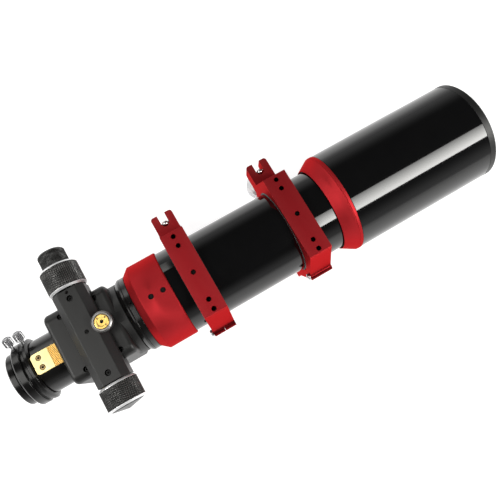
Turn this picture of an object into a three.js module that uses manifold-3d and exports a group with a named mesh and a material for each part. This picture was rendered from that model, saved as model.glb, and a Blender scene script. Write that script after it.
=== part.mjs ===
// Refractor telescope optical tube: a tube with an objective cell, a sliding dew shield, two hinged
// tube rings with swing bolts, and a rotating rack-and-pinion focuser with a two-speed knob.
// Millimetres. X is the optical axis (+X towards the sky), +Z is up, and the ring feet stand on Z = 0.
import * as THREE from 'three';
import { mergeVertices } from 'three/addons/utils/BufferGeometryUtils.js';
import Module from 'manifold-3d';

const wasm = await Module();
wasm.setup();

// ---------------------------------------------------------------- driving dimensions
const GAP = 0.3; // clearance between fitted pieces
const AXIS_SIDES = 32; // facets round every piece on the optical axis
const SMALL_SIDES = 16; // facets round shafts and screws
const HOLE_SIDES = 12; // facets round threaded holes
const KNOB_SIDES = 24; // facets round the focus knobs
const PAST = 1; // how far a cutting shape runs past the face it opens

// optical tube, X measured from the middle of the rear ring
const TUBE = { r: 45, wall: 2, rear: -58, front: 275 };
const COLLAR = { r: 46.9, rear: -64.2, shoulder: -57, front: -25.3, rearR: 41, bore: 35.5, edge: 1 };
const COLLAR_HOLES = { xs: [-46.2, -33.3], r: 2.7, depth: 1.6 };
const BAFFLE = { xs: [55, 165], bore: 36, thick: 1.6 };
const CELL = { r: 46.8, rear: 275.3, front: 302, seat: 42.4, bore: 40 };
const LENS = {
  r: 42, crown: [290.2, 297.6], flint: [281.4, 288.2], sag: 2.2, rearSag: 2.4, crownLift: 0.6,
};
const SPACER = { width: 2, lift: 0.2 };
const RETAINER = { width: 3.4, inset: 0.6 };

// dew shield, drawn back at rest
const DEW = { r: 55.07, wall: 1.8, front: 335.3, rimLength: 8, rimWall: 3, rimEdge: 1.4 };
const CONE = {
  rear: 150.6, front: 168.1, rearR: 46.6, r: 55.3, band: 3.5, bore: 46.3, mouthWall: 3.3, seat: 5,
};

// tube rings
const RING = { xs: [0, 116.1], width: 24.6, bore: 46.6, top: 50.2, foot: -60.5 };
const RING_FLAT = { yMin: -44.4, yMax: 45.3 };
const RING_SIDE = { y: -57.2, land: -54, upper: [[-53.4, 14.4], [-48, 35]], lower: -9 };
const FOOT = { half: 45, top: -48 };
const RING_HOLES = { ys: [-40.2, -30, 0, 30, 40.2], r: 2.6, depth: 9, skin: 1.2 };
const LINER = { r: 46.3, bore: 45.3, proud: 1, gapAngle: 0.02 };
const FORK = {
  tip: 80, top: 7, bottom: -14, root: 57, slotHalf: 4.45, slotCentre: 69.65, chord: 6, chordRise: 1.2,
};
const HINGE = { y: -55.5, z: 0, r: 5, pinR: 2.4, head: 3, headR: 3.6, split: 0.2, room: 0.45 };
const BOLT = {
  y: 69.5, z: 3.4, eyeR: 3.1, eyeHalf: 2.6, shankR: 2.9, end: -51, pivotR: 1.5, pivotInset: 4.4,
};
const CLAMP_KNOB = {
  top: -14.8, bossR: 7.5, skirtR: 9, skirt: -32, shoulder: -37, r: 14, bottom: -52, edge: 1.5,
};

// focuser
const BODY = { rear: -148, front: -82, halfWidth: 37, half: 38, corner: 9 };
const BODY_FLANGE = { r: 37.8, front: -75.6 };
const ROTATOR = { r: 40.5, rear: -75, front: -64.6, lipR: 38.2, lip: 3 };
const GLIDE = { xs: [-136, -90], halfLength: 5, halfWidth: 4, bottom: -31.7 };
const DRAWTUBE = { r: 28.5, bore: 25.6, rear: -175.5, front: -50 };
const RACK = {
  halfWidth: 10.2, rear: -175.2, front: -52, bottom: 27.5, teethFrom: -157, addendum: 0.7, dedendum: 1.1,
};
const RACK_SCREWS = { x: -168, ys: [4.9, -4.9], r: 2.4, proud: 0.35 };
const RACK_WAY = { seatHalf: 12, floor: 20, roof: 32.4 };
const GEAR = {
  module: 1, teeth: 12, halfWidth: 9.5, pressure: 20 * Math.PI / 180, backlash: 0.3, addendum: 0.9,
};
const PINION = { x: -112.5, z: 36.75, shaftR: 2.8, shaftY: [-72.5, 50.6] };
const HOUSING = {
  halfWidth: 16.4, flat: 9.5, yMin: -52, yMax: 45.4, top: 52, bevel: 45, skirt: 12, gearRoom: 8,
};
const HOUSING_HOLES = { ys: [35.8, -42.8], r: 2.7, depth: 3.6 };
const TENSION = { r: 1.6, depth: 3.7, sunk: 0.4 };
const BEARING = { r: 6, width: 4.6, sunk: 0.4 };
const COARSE = { r: 19, left: [-76.5, -53], right: [46.2, 72.6], chamfer: 1.2, dish: 3.5, dishR: 15 };
const CAP = { tip: -80, r: 15.6, plugR: 14.6, rim: -76.9, inner: -73.4 };
const REDUCTION = { pocketR: 9.2, floor: 7, roof: 4, ballR: 2.6, orbit: 5.9, balls: 3 };
const FINE = { r: 13.6, y: [72.9, 89.5], shaftR: 2.6, shaftFrom: 53, edge: 1.5 };
const LOCK = { x: -95, y: 0, r: 10.2, bottom: 52.6, top: 60, stemR: 4.2, stemTo: 35.6, edge: 0.8 };
const LOCK_INSERT = { r: 7, depth: 1.5, sunk: 0.5 };
const LOCK_PAD = { r: 3.8, bottom: 32.2, holeFrom: 30 };
const BODY_HOLES = { xs: [-131.5, -95.5], ys: [-28.4, 28.4], r: 2.6, depth: 5 };

// rear end of the focuser
const FLANGE = { r: 33, rear: -181, front: -175.8, edge: 2, edgeLength: 1.4 };
const BACK = {
  lipR: 27.6, r: 33, grooveR: 30, bore: 25.55, edge: 1, ramp: 1.8,
  rear: -201.6, lip: -193.5, ring: -184.6, front: -181.4,
};
const BRASS_RING = { rear: -192, front: -187, r: 27.2, bore: 25.7, slitHalf: 1.2 };
const THUMB = {
  xs: [-189.6, -178.4], tilt: 33, stemR: 1.7, neck: 37.4, end: 46.2, headR: 4.7, edge: 0.8, taper: 0.6,
};

// ---------------------------------------------------------------- materials
function finish(color, roughness, metalness) {
  return new THREE.MeshStandardMaterial({ color, roughness, metalness });
}
const M = {
  glossBlack: finish(0x08080a, 0.18, 0.4),
  satinBlack: finish(0x161616, 0.42, 0.5),
  red: finish(0xb01218, 0.35, 0.7),
  silver: finish(0xc8c8ca, 0.28, 0.95),
  brass: finish(0xd9b45a, 0.3, 0.95),
  flatBlack: finish(0x0b0b0b, 0.95, 0),
  felt: finish(0x101010, 1, 0),
  nylon: finish(0xd8d4c8, 0.6, 0),
  glass: finish(0x9fb8c8, 0.03, 0),
};

// ---------------------------------------------------------------- solids
function toSolid(geometry) {
  const bare = geometry.clone();
  bare.deleteAttribute('normal');
  bare.deleteAttribute('uv');
  const merged = mergeVertices(bare, 1e-4);
  const position = merged.attributes.position;
  const corners = merged.index.array;
  const kept = [];
  let volume = 0;
  const [a, b, c] = [new THREE.Vector3(), new THREE.Vector3(), new THREE.Vector3()];
  for (let i = 0; i < corners.length; i += 3) {
    const [p, q, r] = [corners[i], corners[i + 1], corners[i + 2]];
    if (p === q || q === r || p === r) continue;
    kept.push(p, q, r);
    a.fromBufferAttribute(position, p);
    b.fromBufferAttribute(position, q);
    c.fromBufferAttribute(position, r);
    volume += a.dot(b.cross(c));
  }
  if (volume < 0) kept.reverse();
  const vertProperties = new Float32Array(position.array);
  const triVerts = new Uint32Array(kept);
  return new wasm.Manifold(new wasm.Mesh({ numProp: 3, vertProperties, triVerts }));
}

function toGeometry(solid) {
  const mesh = solid.getMesh();
  const geometry = new THREE.BufferGeometry();
  geometry.setAttribute('position', new THREE.BufferAttribute(new Float32Array(mesh.vertProperties), 3));
  geometry.setIndex(new THREE.BufferAttribute(new Uint32Array(mesh.triVerts), 1));
  geometry.computeVertexNormals();
  return geometry;
}

// a solid of revolution about X; the profile is a list of [radius, x]
function turned(profile, sides = AXIS_SIDES) {
  const closed = profile[0][0] === 0 ? profile : [...profile, profile[0]];
  const geometry = new THREE.LatheGeometry(closed.map(([r, x]) => new THREE.Vector2(r, x)), sides);
  geometry.rotateZ(-Math.PI / 2);
  return toSolid(geometry);
}

// a solid of revolution about the Y or Z direction through (x, y or z); the profile is [radius, height]
function turnedY(profile, x, z, sides = SMALL_SIDES) {
  const closed = profile[0][0] === 0 ? profile : [...profile, profile[0]];
  const geometry = new THREE.LatheGeometry(closed.map(([r, y]) => new THREE.Vector2(r, y)), sides);
  geometry.translate(x, 0, z);
  return toSolid(geometry);
}
function turnedZ(profile, x, y, sides = SMALL_SIDES) {
  const closed = profile[0][0] === 0 ? profile : [...profile, profile[0]];
  const geometry = new THREE.LatheGeometry(closed.map(([r, z]) => new THREE.Vector2(r, z)), sides);
  geometry.rotateX(Math.PI / 2);
  geometry.translate(x, y, 0);
  return toSolid(geometry);
}

function box(x0, x1, y0, y1, z0, z1) {
  const geometry = new THREE.BoxGeometry(x1 - x0, y1 - y0, z1 - z0);
  geometry.translate((x0 + x1) / 2, (y0 + y1) / 2, (z0 + z1) / 2);
  return toSolid(geometry);
}

// an outline in the YZ plane, extruded along X
const YZ_TO_X = new THREE.Matrix4().makeBasis(
  new THREE.Vector3(0, 1, 0),
  new THREE.Vector3(0, 0, 1),
  new THREE.Vector3(1, 0, 0),
);
function prismX(outline, x0, x1) {
  const shape = new THREE.Shape(outline.map(([y, z]) => new THREE.Vector2(y, z)));
  const geometry = new THREE.ExtrudeGeometry(shape, { depth: x1 - x0, bevelEnabled: false });
  geometry.applyMatrix4(YZ_TO_X);
  geometry.translate(x0, 0, 0);
  return toSolid(geometry);
}

// an outline in the XZ plane, extruded along Y
const XZ_TO_Y = new THREE.Matrix4().makeBasis(
  new THREE.Vector3(1, 0, 0),
  new THREE.Vector3(0, 0, 1),
  new THREE.Vector3(0, -1, 0),
);
function prismY(outline, y0, y1) {
  const shape = new THREE.Shape(outline.map(([x, z]) => new THREE.Vector2(x, z)));
  const geometry = new THREE.ExtrudeGeometry(shape, { depth: y1 - y0, bevelEnabled: false });
  geometry.applyMatrix4(XZ_TO_Y);
  geometry.translate(0, y1, 0);
  return toSolid(geometry);
}

const rodX = (r, x0, x1, y, z, sides = SMALL_SIDES) => (
  turned([[0, x0], [r, x0], [r, x1], [0, x1]], sides).translate(0, y, z));
const rodY = (r, y0, y1, x, z, sides = SMALL_SIDES) => (
  turnedY([[0, y0], [r, y0], [r, y1], [0, y1]], x, z, sides));
const rodZ = (r, z0, z1, x, y, sides = SMALL_SIDES) => (
  turnedZ([[0, z0], [r, z0], [r, z1], [0, z1]], x, y, sides));
const holeZ = (r, z0, z1, x, y) => rodZ(r, z0, z1, x, y, HOLE_SIDES);
const bushX = (r, bore, x0, x1, sides = AXIS_SIDES) => (
  turned([[bore, x0], [r, x0], [r, x1], [bore, x1]], sides));

function arc(radius, from, to, steps) {
  const points = [];
  for (let i = 0; i <= steps; i += 1) {
    const angle = from + ((to - from) * i) / steps;
    points.push([radius * Math.cos(angle), radius * Math.sin(angle)]);
  }
  return points;
}

const assembly = new THREE.Group();
function add(name, solid, material) {
  const mesh = new THREE.Mesh(toGeometry(solid), material);
  mesh.name = name;
  assembly.add(mesh);
}

// ---------------------------------------------------------------- optical tube
function addTube() {
  const inner = TUBE.r - TUBE.wall;
  add('main_tube', bushX(TUBE.r, inner, TUBE.rear, TUBE.front), M.glossBlack);

  const slip = TUBE.r + GAP;
  let collar = turned([
    [COLLAR.bore, COLLAR.rear], [COLLAR.rearR, COLLAR.rear], [COLLAR.r, COLLAR.shoulder],
    [COLLAR.r, COLLAR.front - COLLAR.edge], [COLLAR.r - COLLAR.edge, COLLAR.front], [slip, COLLAR.front],
    [slip, TUBE.rear - GAP], [COLLAR.bore, TUBE.rear - GAP],
  ]);
  for (const x of COLLAR_HOLES.xs) {
    collar = collar.subtract(holeZ(COLLAR_HOLES.r, COLLAR.r - COLLAR_HOLES.depth, COLLAR.r + PAST, x, 0));
  }
  add('rear_collar', collar, M.red);

  BAFFLE.xs.forEach((x, i) => {
    add(`tube_baffle_${i + 1}`, bushX(inner - GAP, BAFFLE.bore, x, x + BAFFLE.thick), M.flatBlack);
  });
}

function addObjective() {
  const seatX = LENS.flint[0] - GAP;
  add('objective_cell', turned([
    [CELL.bore, CELL.rear], [CELL.r, CELL.rear], [CELL.r, CELL.front], [CELL.seat, CELL.front],
    [CELL.seat, seatX], [CELL.bore, seatX],
  ]), M.satinBlack);

  // the rear face of the crown and the front face of the flint bulge to follow each other
  const [flintRear, flintFront] = LENS.flint;
  const [crownBack, crownFront] = LENS.crown;
  const crownRear = crownBack + LENS.crownLift;
  // a shallow bow over the radius: three quarters of its depth at half the radius, all of it on the axis
  const bow = (x, depth) => [[LENS.r * 0.5, x + depth * 0.75], [0, x + depth]];
  const flintLand = LENS.r * 0.92;
  add('flint_lens', turned([
    ...bow(flintRear, LENS.rearSag).reverse(), [flintLand, flintRear],
    [LENS.r, flintRear], [LENS.r, flintFront], ...bow(flintFront, -LENS.sag),
  ]), M.glass);
  add('crown_lens', turned([
    ...bow(crownRear, -LENS.sag).reverse(), [LENS.r, crownRear],
    [LENS.r, crownFront], ...bow(crownFront, LENS.sag),
  ]), M.glass);
  const spacerFront = crownBack + SPACER.lift;
  add('lens_spacer', bushX(LENS.r, LENS.r - SPACER.width, flintFront + GAP, spacerFront), M.brass);
  const retainerFront = CELL.front - RETAINER.inset;
  const retainer = bushX(LENS.r, LENS.r - RETAINER.width, crownFront + GAP, retainerFront);
  add('lens_retaining_ring', retainer, M.flatBlack);
}

function addDewShield() {
  const inner = DEW.r - DEW.wall;
  const rim = DEW.front - DEW.rimLength;
  add('dew_shield_tube', bushX(DEW.r, inner, CONE.front + GAP, rim - GAP), M.glossBlack);
  add('dew_shield_front_ring', turned([
    [DEW.r - DEW.rimWall, rim], [DEW.r, rim], [DEW.r, DEW.front - DEW.rimEdge],
    [DEW.r - DEW.rimEdge, DEW.front], [DEW.r - DEW.rimWall, DEW.front],
  ]), M.satinBlack);
  add('dew_shield_cone', turned([
    [CONE.bore, CONE.rear], [CONE.rearR, CONE.rear], [CONE.r, CONE.front - CONE.band],
    [CONE.r, CONE.front], [DEW.r - CONE.mouthWall, CONE.front], [CONE.bore, CONE.front - CONE.seat],
  ]), M.red);
  add('dew_shield_felt', bushX(CONE.bore - GAP, TUBE.r + GAP, CONE.rear + 1, CONE.front - CONE.seat), M.felt);
}

// ---------------------------------------------------------------- tube rings
const RING_START = Math.asin(GAP / 2 / RING.bore);

function ringHalfUpper(x0, x1) {
  const outline = [
    ...arc(RING.bore, RING_START, Math.PI - RING_START, AXIS_SIDES / 2),
    [RING_SIDE.land, GAP / 2], [RING_SIDE.y, GAP / 2], ...RING_SIDE.upper, [RING_FLAT.yMin, RING.top],
    [RING_FLAT.yMax, RING.top], [FORK.root, FORK.top], [FORK.tip, FORK.top], [FORK.tip, GAP / 2],
  ];
  return prismX(outline, x0, x1);
}

function ringHalfLower(x0, x1) {
  const reach = BOLT.z - FORK.bottom;
  const tipRise = BOLT.z - Math.sqrt(reach ** 2 - (FORK.tip - BOLT.y) ** 2);
  const outline = [
    ...arc(RING.bore, Math.PI + RING_START, 2 * Math.PI - RING_START, AXIS_SIDES / 2),
    [FORK.tip, -GAP / 2], [FORK.tip, tipRise], [BOLT.y + FORK.chord, FORK.bottom + FORK.chordRise],
    [BOLT.y, FORK.bottom], [FORK.root, FORK.bottom], [FOOT.half, FOOT.top], [FOOT.half, RING.foot],
    [-FOOT.half, RING.foot], [-FOOT.half, FOOT.top], [RING_SIDE.y, RING_SIDE.lower], [RING_SIDE.y, -GAP / 2],
  ];
  return prismX(outline, x0, x1);
}

function addRing(name, xc) {
  const half = RING.width / 2;
  const [x0, x1] = [xc - half, xc + half];
  const [slotLow, slotHigh] = [FORK.bottom - 6, FORK.top + 5];
  const slot = box(
    xc - FORK.slotHalf, xc + FORK.slotHalf, FORK.slotCentre - PAST, FORK.tip + PAST, slotLow, slotHigh,
  ).add(rodZ(FORK.slotHalf, slotLow, slotHigh, xc, FORK.slotCentre));
  const pinHole = rodX(HINGE.pinR + GAP, x0 - PAST, x1 + PAST, HINGE.y, HINGE.z);
  const knuckle = (a, b) => rodX(HINGE.r, a, b, HINGE.y, HINGE.z);
  const room = (a, b) => rodX(HINGE.r + HINGE.room, a, b, HINGE.y, HINGE.z);
  const [near, far] = [xc - HINGE.split, xc + HINGE.split];

  const inset = BOLT.pivotInset;
  const pivotRoom = rodX(BOLT.pivotR + GAP, x0 + inset - GAP, x1 - inset + GAP, BOLT.y, BOLT.z, HOLE_SIDES);
  let upper = ringHalfUpper(x0, x1).subtract(room(x0 - PAST, far)).add(knuckle(far, x1));
  upper = upper.subtract(pinHole).subtract(slot).subtract(pivotRoom);
  let lower = ringHalfLower(x0, x1).subtract(room(near, x1 + PAST)).add(knuckle(x0, near));
  lower = lower.subtract(pinHole).subtract(slot);
  for (const y of RING_HOLES.ys) {
    upper = upper.subtract(holeZ(RING_HOLES.r, RING.top - holeDepth(y, RING.top), RING.top + PAST, xc, y));
    lower = lower.subtract(holeZ(RING_HOLES.r, RING.foot - PAST, RING.foot + RING_HOLES.depth, xc, y));
  }
  add(`${name}_upper_half`, upper, M.red);
  add(`${name}_lower_half`, lower, M.red);
  add(`${name}_hinge_pin`, rodX(HINGE.pinR, x0 - PAST, x1, HINGE.y, HINGE.z)
    .add(rodX(HINGE.headR, x0 - HINGE.head, x0 - GAP, HINGE.y, HINGE.z)), M.silver);

  const liner = [
    ...arc(LINER.r, LINER.gapAngle, Math.PI - LINER.gapAngle, AXIS_SIDES / 2),
    ...arc(LINER.bore, Math.PI - LINER.gapAngle, LINER.gapAngle, AXIS_SIDES / 2),
  ];
  const under = liner.map(([y, z]) => [y, -z]).reverse();
  add(`${name}_liner_upper`, prismX(liner, x0 - LINER.proud, x1 + LINER.proud), M.felt);
  add(`${name}_liner_lower`, prismX(under, x0 - LINER.proud, x1 + LINER.proud), M.felt);

  const eye = rodX(BOLT.eyeR, xc - BOLT.eyeHalf, xc + BOLT.eyeHalf, BOLT.y, BOLT.z);
  const pivots = rodX(BOLT.pivotR, x0 + inset, x1 - inset, BOLT.y, BOLT.z, HOLE_SIDES);
  const shank = rodZ(BOLT.shankR, BOLT.end, BOLT.z, xc, BOLT.y);
  add(`${name}_swing_bolt`, eye.add(pivots).add(shank), M.silver);

  const bore = BOLT.shankR + GAP;
  add(`${name}_clamp_knob`, turnedZ([
    [bore, CLAMP_KNOB.top], [CLAMP_KNOB.bossR, CLAMP_KNOB.top], [CLAMP_KNOB.skirtR, CLAMP_KNOB.skirt],
    [CLAMP_KNOB.r, CLAMP_KNOB.shoulder], [CLAMP_KNOB.r, CLAMP_KNOB.bottom + CLAMP_KNOB.edge],
    [CLAMP_KNOB.r - CLAMP_KNOB.edge, CLAMP_KNOB.bottom], [bore, CLAMP_KNOB.bottom],
  ], xc, BOLT.y), M.silver);
}

// holes over the thin crown of a half stay clear of the bore
function holeDepth(y, top) {
  const crown = top - Math.sqrt(Math.max(RING.bore ** 2 - y ** 2, 0));
  return Math.min(RING_HOLES.depth, crown - RING_HOLES.skin);
}

// ---------------------------------------------------------------- focuser
function roundedBox(halfY, halfZ, corner, steps = 4) {
  const outline = [];
  for (const [sy, sz, from] of [[1, 1, 0], [-1, 1, 1], [-1, -1, 2], [1, -1, 3]]) {
    const turn = (from * Math.PI) / 2;
    for (const [dy, dz] of arc(corner, turn, turn + Math.PI / 2, steps)) {
      outline.push([sy * (halfY - corner) + dy, sz * (halfZ - corner) + dz]);
    }
  }
  return outline;
}

function addFocuserBody() {
  const bore = DRAWTUBE.r + GAP;
  const slotHalf = RACK.halfWidth + 0.5;
  const [rear, front, top] = [BODY.rear - PAST, BODY_FLANGE.front + PAST, BODY.half + PAST];
  let body = prismX(roundedBox(BODY.halfWidth, BODY.half, BODY.corner), BODY.rear, BODY.front)
    .add(rodX(BODY_FLANGE.r, BODY.front - PAST, BODY_FLANGE.front, 0, 0, AXIS_SIDES));
  body = body.subtract(rodX(bore, rear, front, 0, 0, AXIS_SIDES));
  body = body.subtract(box(rear, front, -slotHalf, slotHalf, RACK_WAY.floor, RACK_WAY.roof));
  const { gearRoom } = HOUSING;
  const [gearRear, gearFront] = [PINION.x - gearRoom, PINION.x + gearRoom];
  body = body.subtract(box(gearRear, gearFront, -slotHalf, slotHalf, LOCK_PAD.holeFrom, top));
  body = body.subtract(rodZ(LOCK.stemR + GAP, LOCK_PAD.holeFrom, top, LOCK.x, LOCK.y));
  const shaftRoom = PINION.shaftR + GAP;
  const side = BODY.halfWidth + PAST;
  body = body.subtract(rodY(shaftRoom, -side, side, PINION.x, PINION.z));
  body = body.subtract(box(PINION.x - shaftRoom, PINION.x + shaftRoom, -side, side, PINION.z, top));
  for (const x of BODY_HOLES.xs) {
    for (const y of BODY_HOLES.ys) {
      body = body.subtract(holeZ(BODY_HOLES.r, BODY.half - BODY_HOLES.depth, top, x, y));
    }
  }
  const { halfLength, halfWidth, bottom } = GLIDE;
  const pad = (x, room, roof) => box(
    x - halfLength - room, x + halfLength + room, -halfWidth - room, halfWidth + room, bottom - room, roof,
  );
  for (const x of GLIDE.xs) body = body.subtract(pad(x, GAP, -DRAWTUBE.r + PAST));
  add('focuser_body', body, M.satinBlack);
  GLIDE.xs.forEach((x, i) => add(`drawtube_glide_${i + 1}`, pad(x, 0, -bore), M.nylon));

  add('rotator_ring', turned([
    [COLLAR.bore, ROTATOR.rear], [ROTATOR.lipR, ROTATOR.rear], [ROTATOR.r, ROTATOR.rear + ROTATOR.lip],
    [ROTATOR.r, ROTATOR.front], [COLLAR.bore, ROTATOR.front],
  ]), M.satinBlack);
}

function addPinionHousing() {
  const { halfWidth, flat, yMin, yMax, top, bevel, skirt, gearRoom } = HOUSING;
  const x = PINION.x;
  const under = BODY.half + GAP;
  let housing = prismY([
    [x - halfWidth, under - skirt], [x + halfWidth, under - skirt], [x + halfWidth, bevel], [x + flat, top],
    [x - flat, top], [x - halfWidth, bevel],
  ], yMin, yMax);
  // the block sits over the body as a saddle; its two ends reach down past the body's sides
  const saddleHalf = BODY.halfWidth + GAP;
  const bore = PINION.shaftR + GAP;
  const seatR = BEARING.r + GAP;
  const seatDepth = BEARING.sunk + BEARING.width + GAP;
  const gearHalf = GEAR.halfWidth + PAST;
  housing = housing.subtract(box(x - BODY.half, x + BODY.half, -saddleHalf, saddleHalf, 0, under));
  housing = housing.subtract(rodY(bore, yMin - PAST, yMax + PAST, x, PINION.z));
  housing = housing.subtract(rodY(gearRoom, -gearHalf, gearHalf, x, PINION.z));
  housing = housing.subtract(rodY(seatR, yMin - PAST, yMin + seatDepth, x, PINION.z));
  housing = housing.subtract(rodY(seatR, yMax - seatDepth, yMax + PAST, x, PINION.z));
  housing = housing.subtract(rodZ(LOCK.stemR + GAP, LOCK_PAD.holeFrom, top + PAST, LOCK.x, LOCK.y));
  const tensionBottom = top - TENSION.depth;
  housing = housing.subtract(holeZ(TENSION.r + GAP, tensionBottom - GAP, top + PAST, x, 0));
  for (const y of HOUSING_HOLES.ys) {
    housing = housing.subtract(holeZ(HOUSING_HOLES.r, top - HOUSING_HOLES.depth, top + PAST, x, y));
  }
  add('pinion_housing', housing, M.satinBlack);
  add('tension_screw', holeZ(TENSION.r, tensionBottom, top - TENSION.sunk, x, 0), M.satinBlack);
  const race = (y) => turnedY([
    [bore, y], [BEARING.r, y], [BEARING.r, y + BEARING.width], [bore, y + BEARING.width],
  ], x, PINION.z);
  add('pinion_bearing_left', race(yMin + BEARING.sunk), M.silver);
  add('pinion_bearing_right', race(yMax - BEARING.sunk - BEARING.width), M.silver);
}

// involute flank points of one gear tooth, from root to tip, about its own centre line
function toothFlank() {
  const { module, teeth, pressure, backlash, addendum } = GEAR;
  const pitch = (module * teeth) / 2;
  const base = pitch * Math.cos(pressure);
  const involute = (r) => {
    const angle = Math.acos(Math.min(1, base / r));
    return Math.tan(angle) - angle;
  };
  const halfAtPitch = (Math.PI * module / 2 - backlash / 2) / 2 / pitch;
  const tip = pitch + addendum * module;
  const radii = [base, base + (tip - base) * 0.22, base + (tip - base) * 0.58, tip];
  const flank = radii.map((r) => [r, halfAtPitch + involute(pitch) - involute(r)]);
  const root = pitch - (addendum + 0.25) * module;
  return [[root, flank[0][1]], ...flank];
}

function addPinion() {
  const flank = toothFlank();
  const step = (2 * Math.PI) / GEAR.teeth;
  const outline = [];
  for (let i = 0; i < GEAR.teeth; i += 1) {
    const centre = -Math.PI / 2 + i * step;
    for (const [r, half] of flank) outline.push([r * Math.cos(centre - half), r * Math.sin(centre - half)]);
    for (const [r, half] of [...flank].reverse()) {
      outline.push([r * Math.cos(centre + half), r * Math.sin(centre + half)]);
    }
  }
  const { x, z } = PINION;
  const placed = outline.map(([dx, dz]) => [x + dx, z + dz]);
  const gear = prismY(placed, -GEAR.halfWidth, GEAR.halfWidth);
  const half = GEAR.halfWidth + PAST;
  add('pinion_gear', gear.subtract(rodY(PINION.shaftR + GAP, -half, half, x, z)), M.brass);
  add('pinion_shaft', rodY(PINION.shaftR, PINION.shaftY[0], PINION.shaftY[1], x, z), M.silver);
}

// ---------------------------------------------------------------- drawtube and rack
function addDrawtube() {
  let tube = bushX(DRAWTUBE.r, DRAWTUBE.bore, DRAWTUBE.rear, DRAWTUBE.front);
  const [rear, front] = [DRAWTUBE.rear - PAST, DRAWTUBE.front + PAST];
  const { seatHalf } = RACK_WAY;
  tube = tube.subtract(box(rear, front, -seatHalf, seatHalf, RACK.bottom - GAP, DRAWTUBE.r + PAST));
  add('drawtube', tube, M.satinBlack);

  const pitchLine = PINION.z - (GEAR.module * GEAR.teeth) / 2;
  const pitchStep = Math.PI * GEAR.module;
  const tip = pitchLine + RACK.addendum;
  const root = pitchLine - RACK.dedendum;
  const slope = Math.tan(GEAR.pressure);
  const halfPitchWidth = (pitchStep / 2 - GEAR.backlash / 2) / 2;
  const halfTip = halfPitchWidth - RACK.addendum * slope;
  const halfRoot = halfPitchWidth + RACK.dedendum * slope;
  // a rack gap faces the pinion's lowest tooth, so the teeth stand half a step to each side of it
  const outline = [[RACK.rear, RACK.bottom], [RACK.front, RACK.bottom], [RACK.front, root]];
  const count = Math.floor((RACK.front - 1 - PINION.x) / pitchStep);
  const back = Math.floor((PINION.x - RACK.teethFrom) / pitchStep);
  for (let i = count; i >= -back; i -= 1) {
    const x = PINION.x + (i - 0.5) * pitchStep;
    outline.push([x + halfRoot, root], [x + halfTip, tip], [x - halfTip, tip], [x - halfRoot, root]);
  }
  outline.push([RACK.rear, root]);
  let rack = prismY(outline, -RACK.halfWidth, RACK.halfWidth);
  const { x: screwX, ys, r, proud } = RACK_SCREWS;
  for (const y of ys) rack = rack.subtract(holeZ(r + GAP, RACK.bottom - PAST, tip + PAST, screwX, y));
  add('focus_rack', rack, M.brass);
  ys.forEach((y, i) => add(`rack_screw_${i + 1}`, holeZ(r, RACK.bottom, root + proud, screwX, y), M.brass));
}

function addRearEnd() {
  let flange = turned([
    [DRAWTUBE.bore, FLANGE.rear], [FLANGE.r, FLANGE.rear], [FLANGE.r, FLANGE.front - FLANGE.edgeLength],
    [FLANGE.r - FLANGE.edge, FLANGE.front], [DRAWTUBE.bore, FLANGE.front],
  ]);
  let back = turned([
    [BACK.bore, BACK.rear], [BACK.lipR - BACK.edge, BACK.rear], [BACK.lipR, BACK.rear + BACK.edge],
    [BACK.lipR, BACK.lip], [BACK.r, BACK.lip + BACK.ramp], [BACK.r, BACK.ring], [BACK.grooveR, BACK.ring],
    [BACK.grooveR, BACK.front], [BACK.bore, BACK.front], [BACK.bore, BRASS_RING.front + GAP],
    [BRASS_RING.r + GAP, BRASS_RING.front + GAP], [BRASS_RING.r + GAP, BRASS_RING.rear - GAP],
    [BACK.bore, BRASS_RING.rear - GAP],
  ]);
  const outward = (solid, x) => solid.rotate(THUMB.tilt - 90, 0, 0).translate(x, 0, 0);
  const hole = (x, from) => outward(holeZ(THUMB.stemR + GAP, from, BACK.r + PAST, 0, 0), x);
  const [backX, flangeX] = THUMB.xs;
  flange = flange.subtract(hole(flangeX, DRAWTUBE.bore - PAST));
  const thumbscrew = (inner) => turnedZ([
    [0, inner], [THUMB.stemR, inner], [THUMB.stemR, THUMB.neck], [THUMB.headR, THUMB.neck + THUMB.taper],
    [THUMB.headR, THUMB.end - THUMB.edge], [THUMB.headR - THUMB.edge, THUMB.end], [0, THUMB.end],
  ], 0, 0);
  back = back.subtract(hole(backX, BRASS_RING.r));
  add('drawtube_flange', flange, M.satinBlack);
  add('visual_back', back, M.satinBlack);
  add('thumbscrew_eyepiece', outward(thumbscrew(BRASS_RING.r + 0.4), backX), M.silver);
  add('thumbscrew_rotation', outward(thumbscrew(DRAWTUBE.bore + 0.6), flangeX), M.silver);
  const { slitHalf } = BRASS_RING;
  const opening = box(
    BRASS_RING.rear - PAST, BRASS_RING.front + PAST, -slitHalf, slitHalf, -BRASS_RING.r - PAST, 0,
  );
  add('compression_ring', bushX(BRASS_RING.r, BRASS_RING.bore, BRASS_RING.rear, BRASS_RING.front)
    .subtract(opening), M.brass);
}

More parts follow.
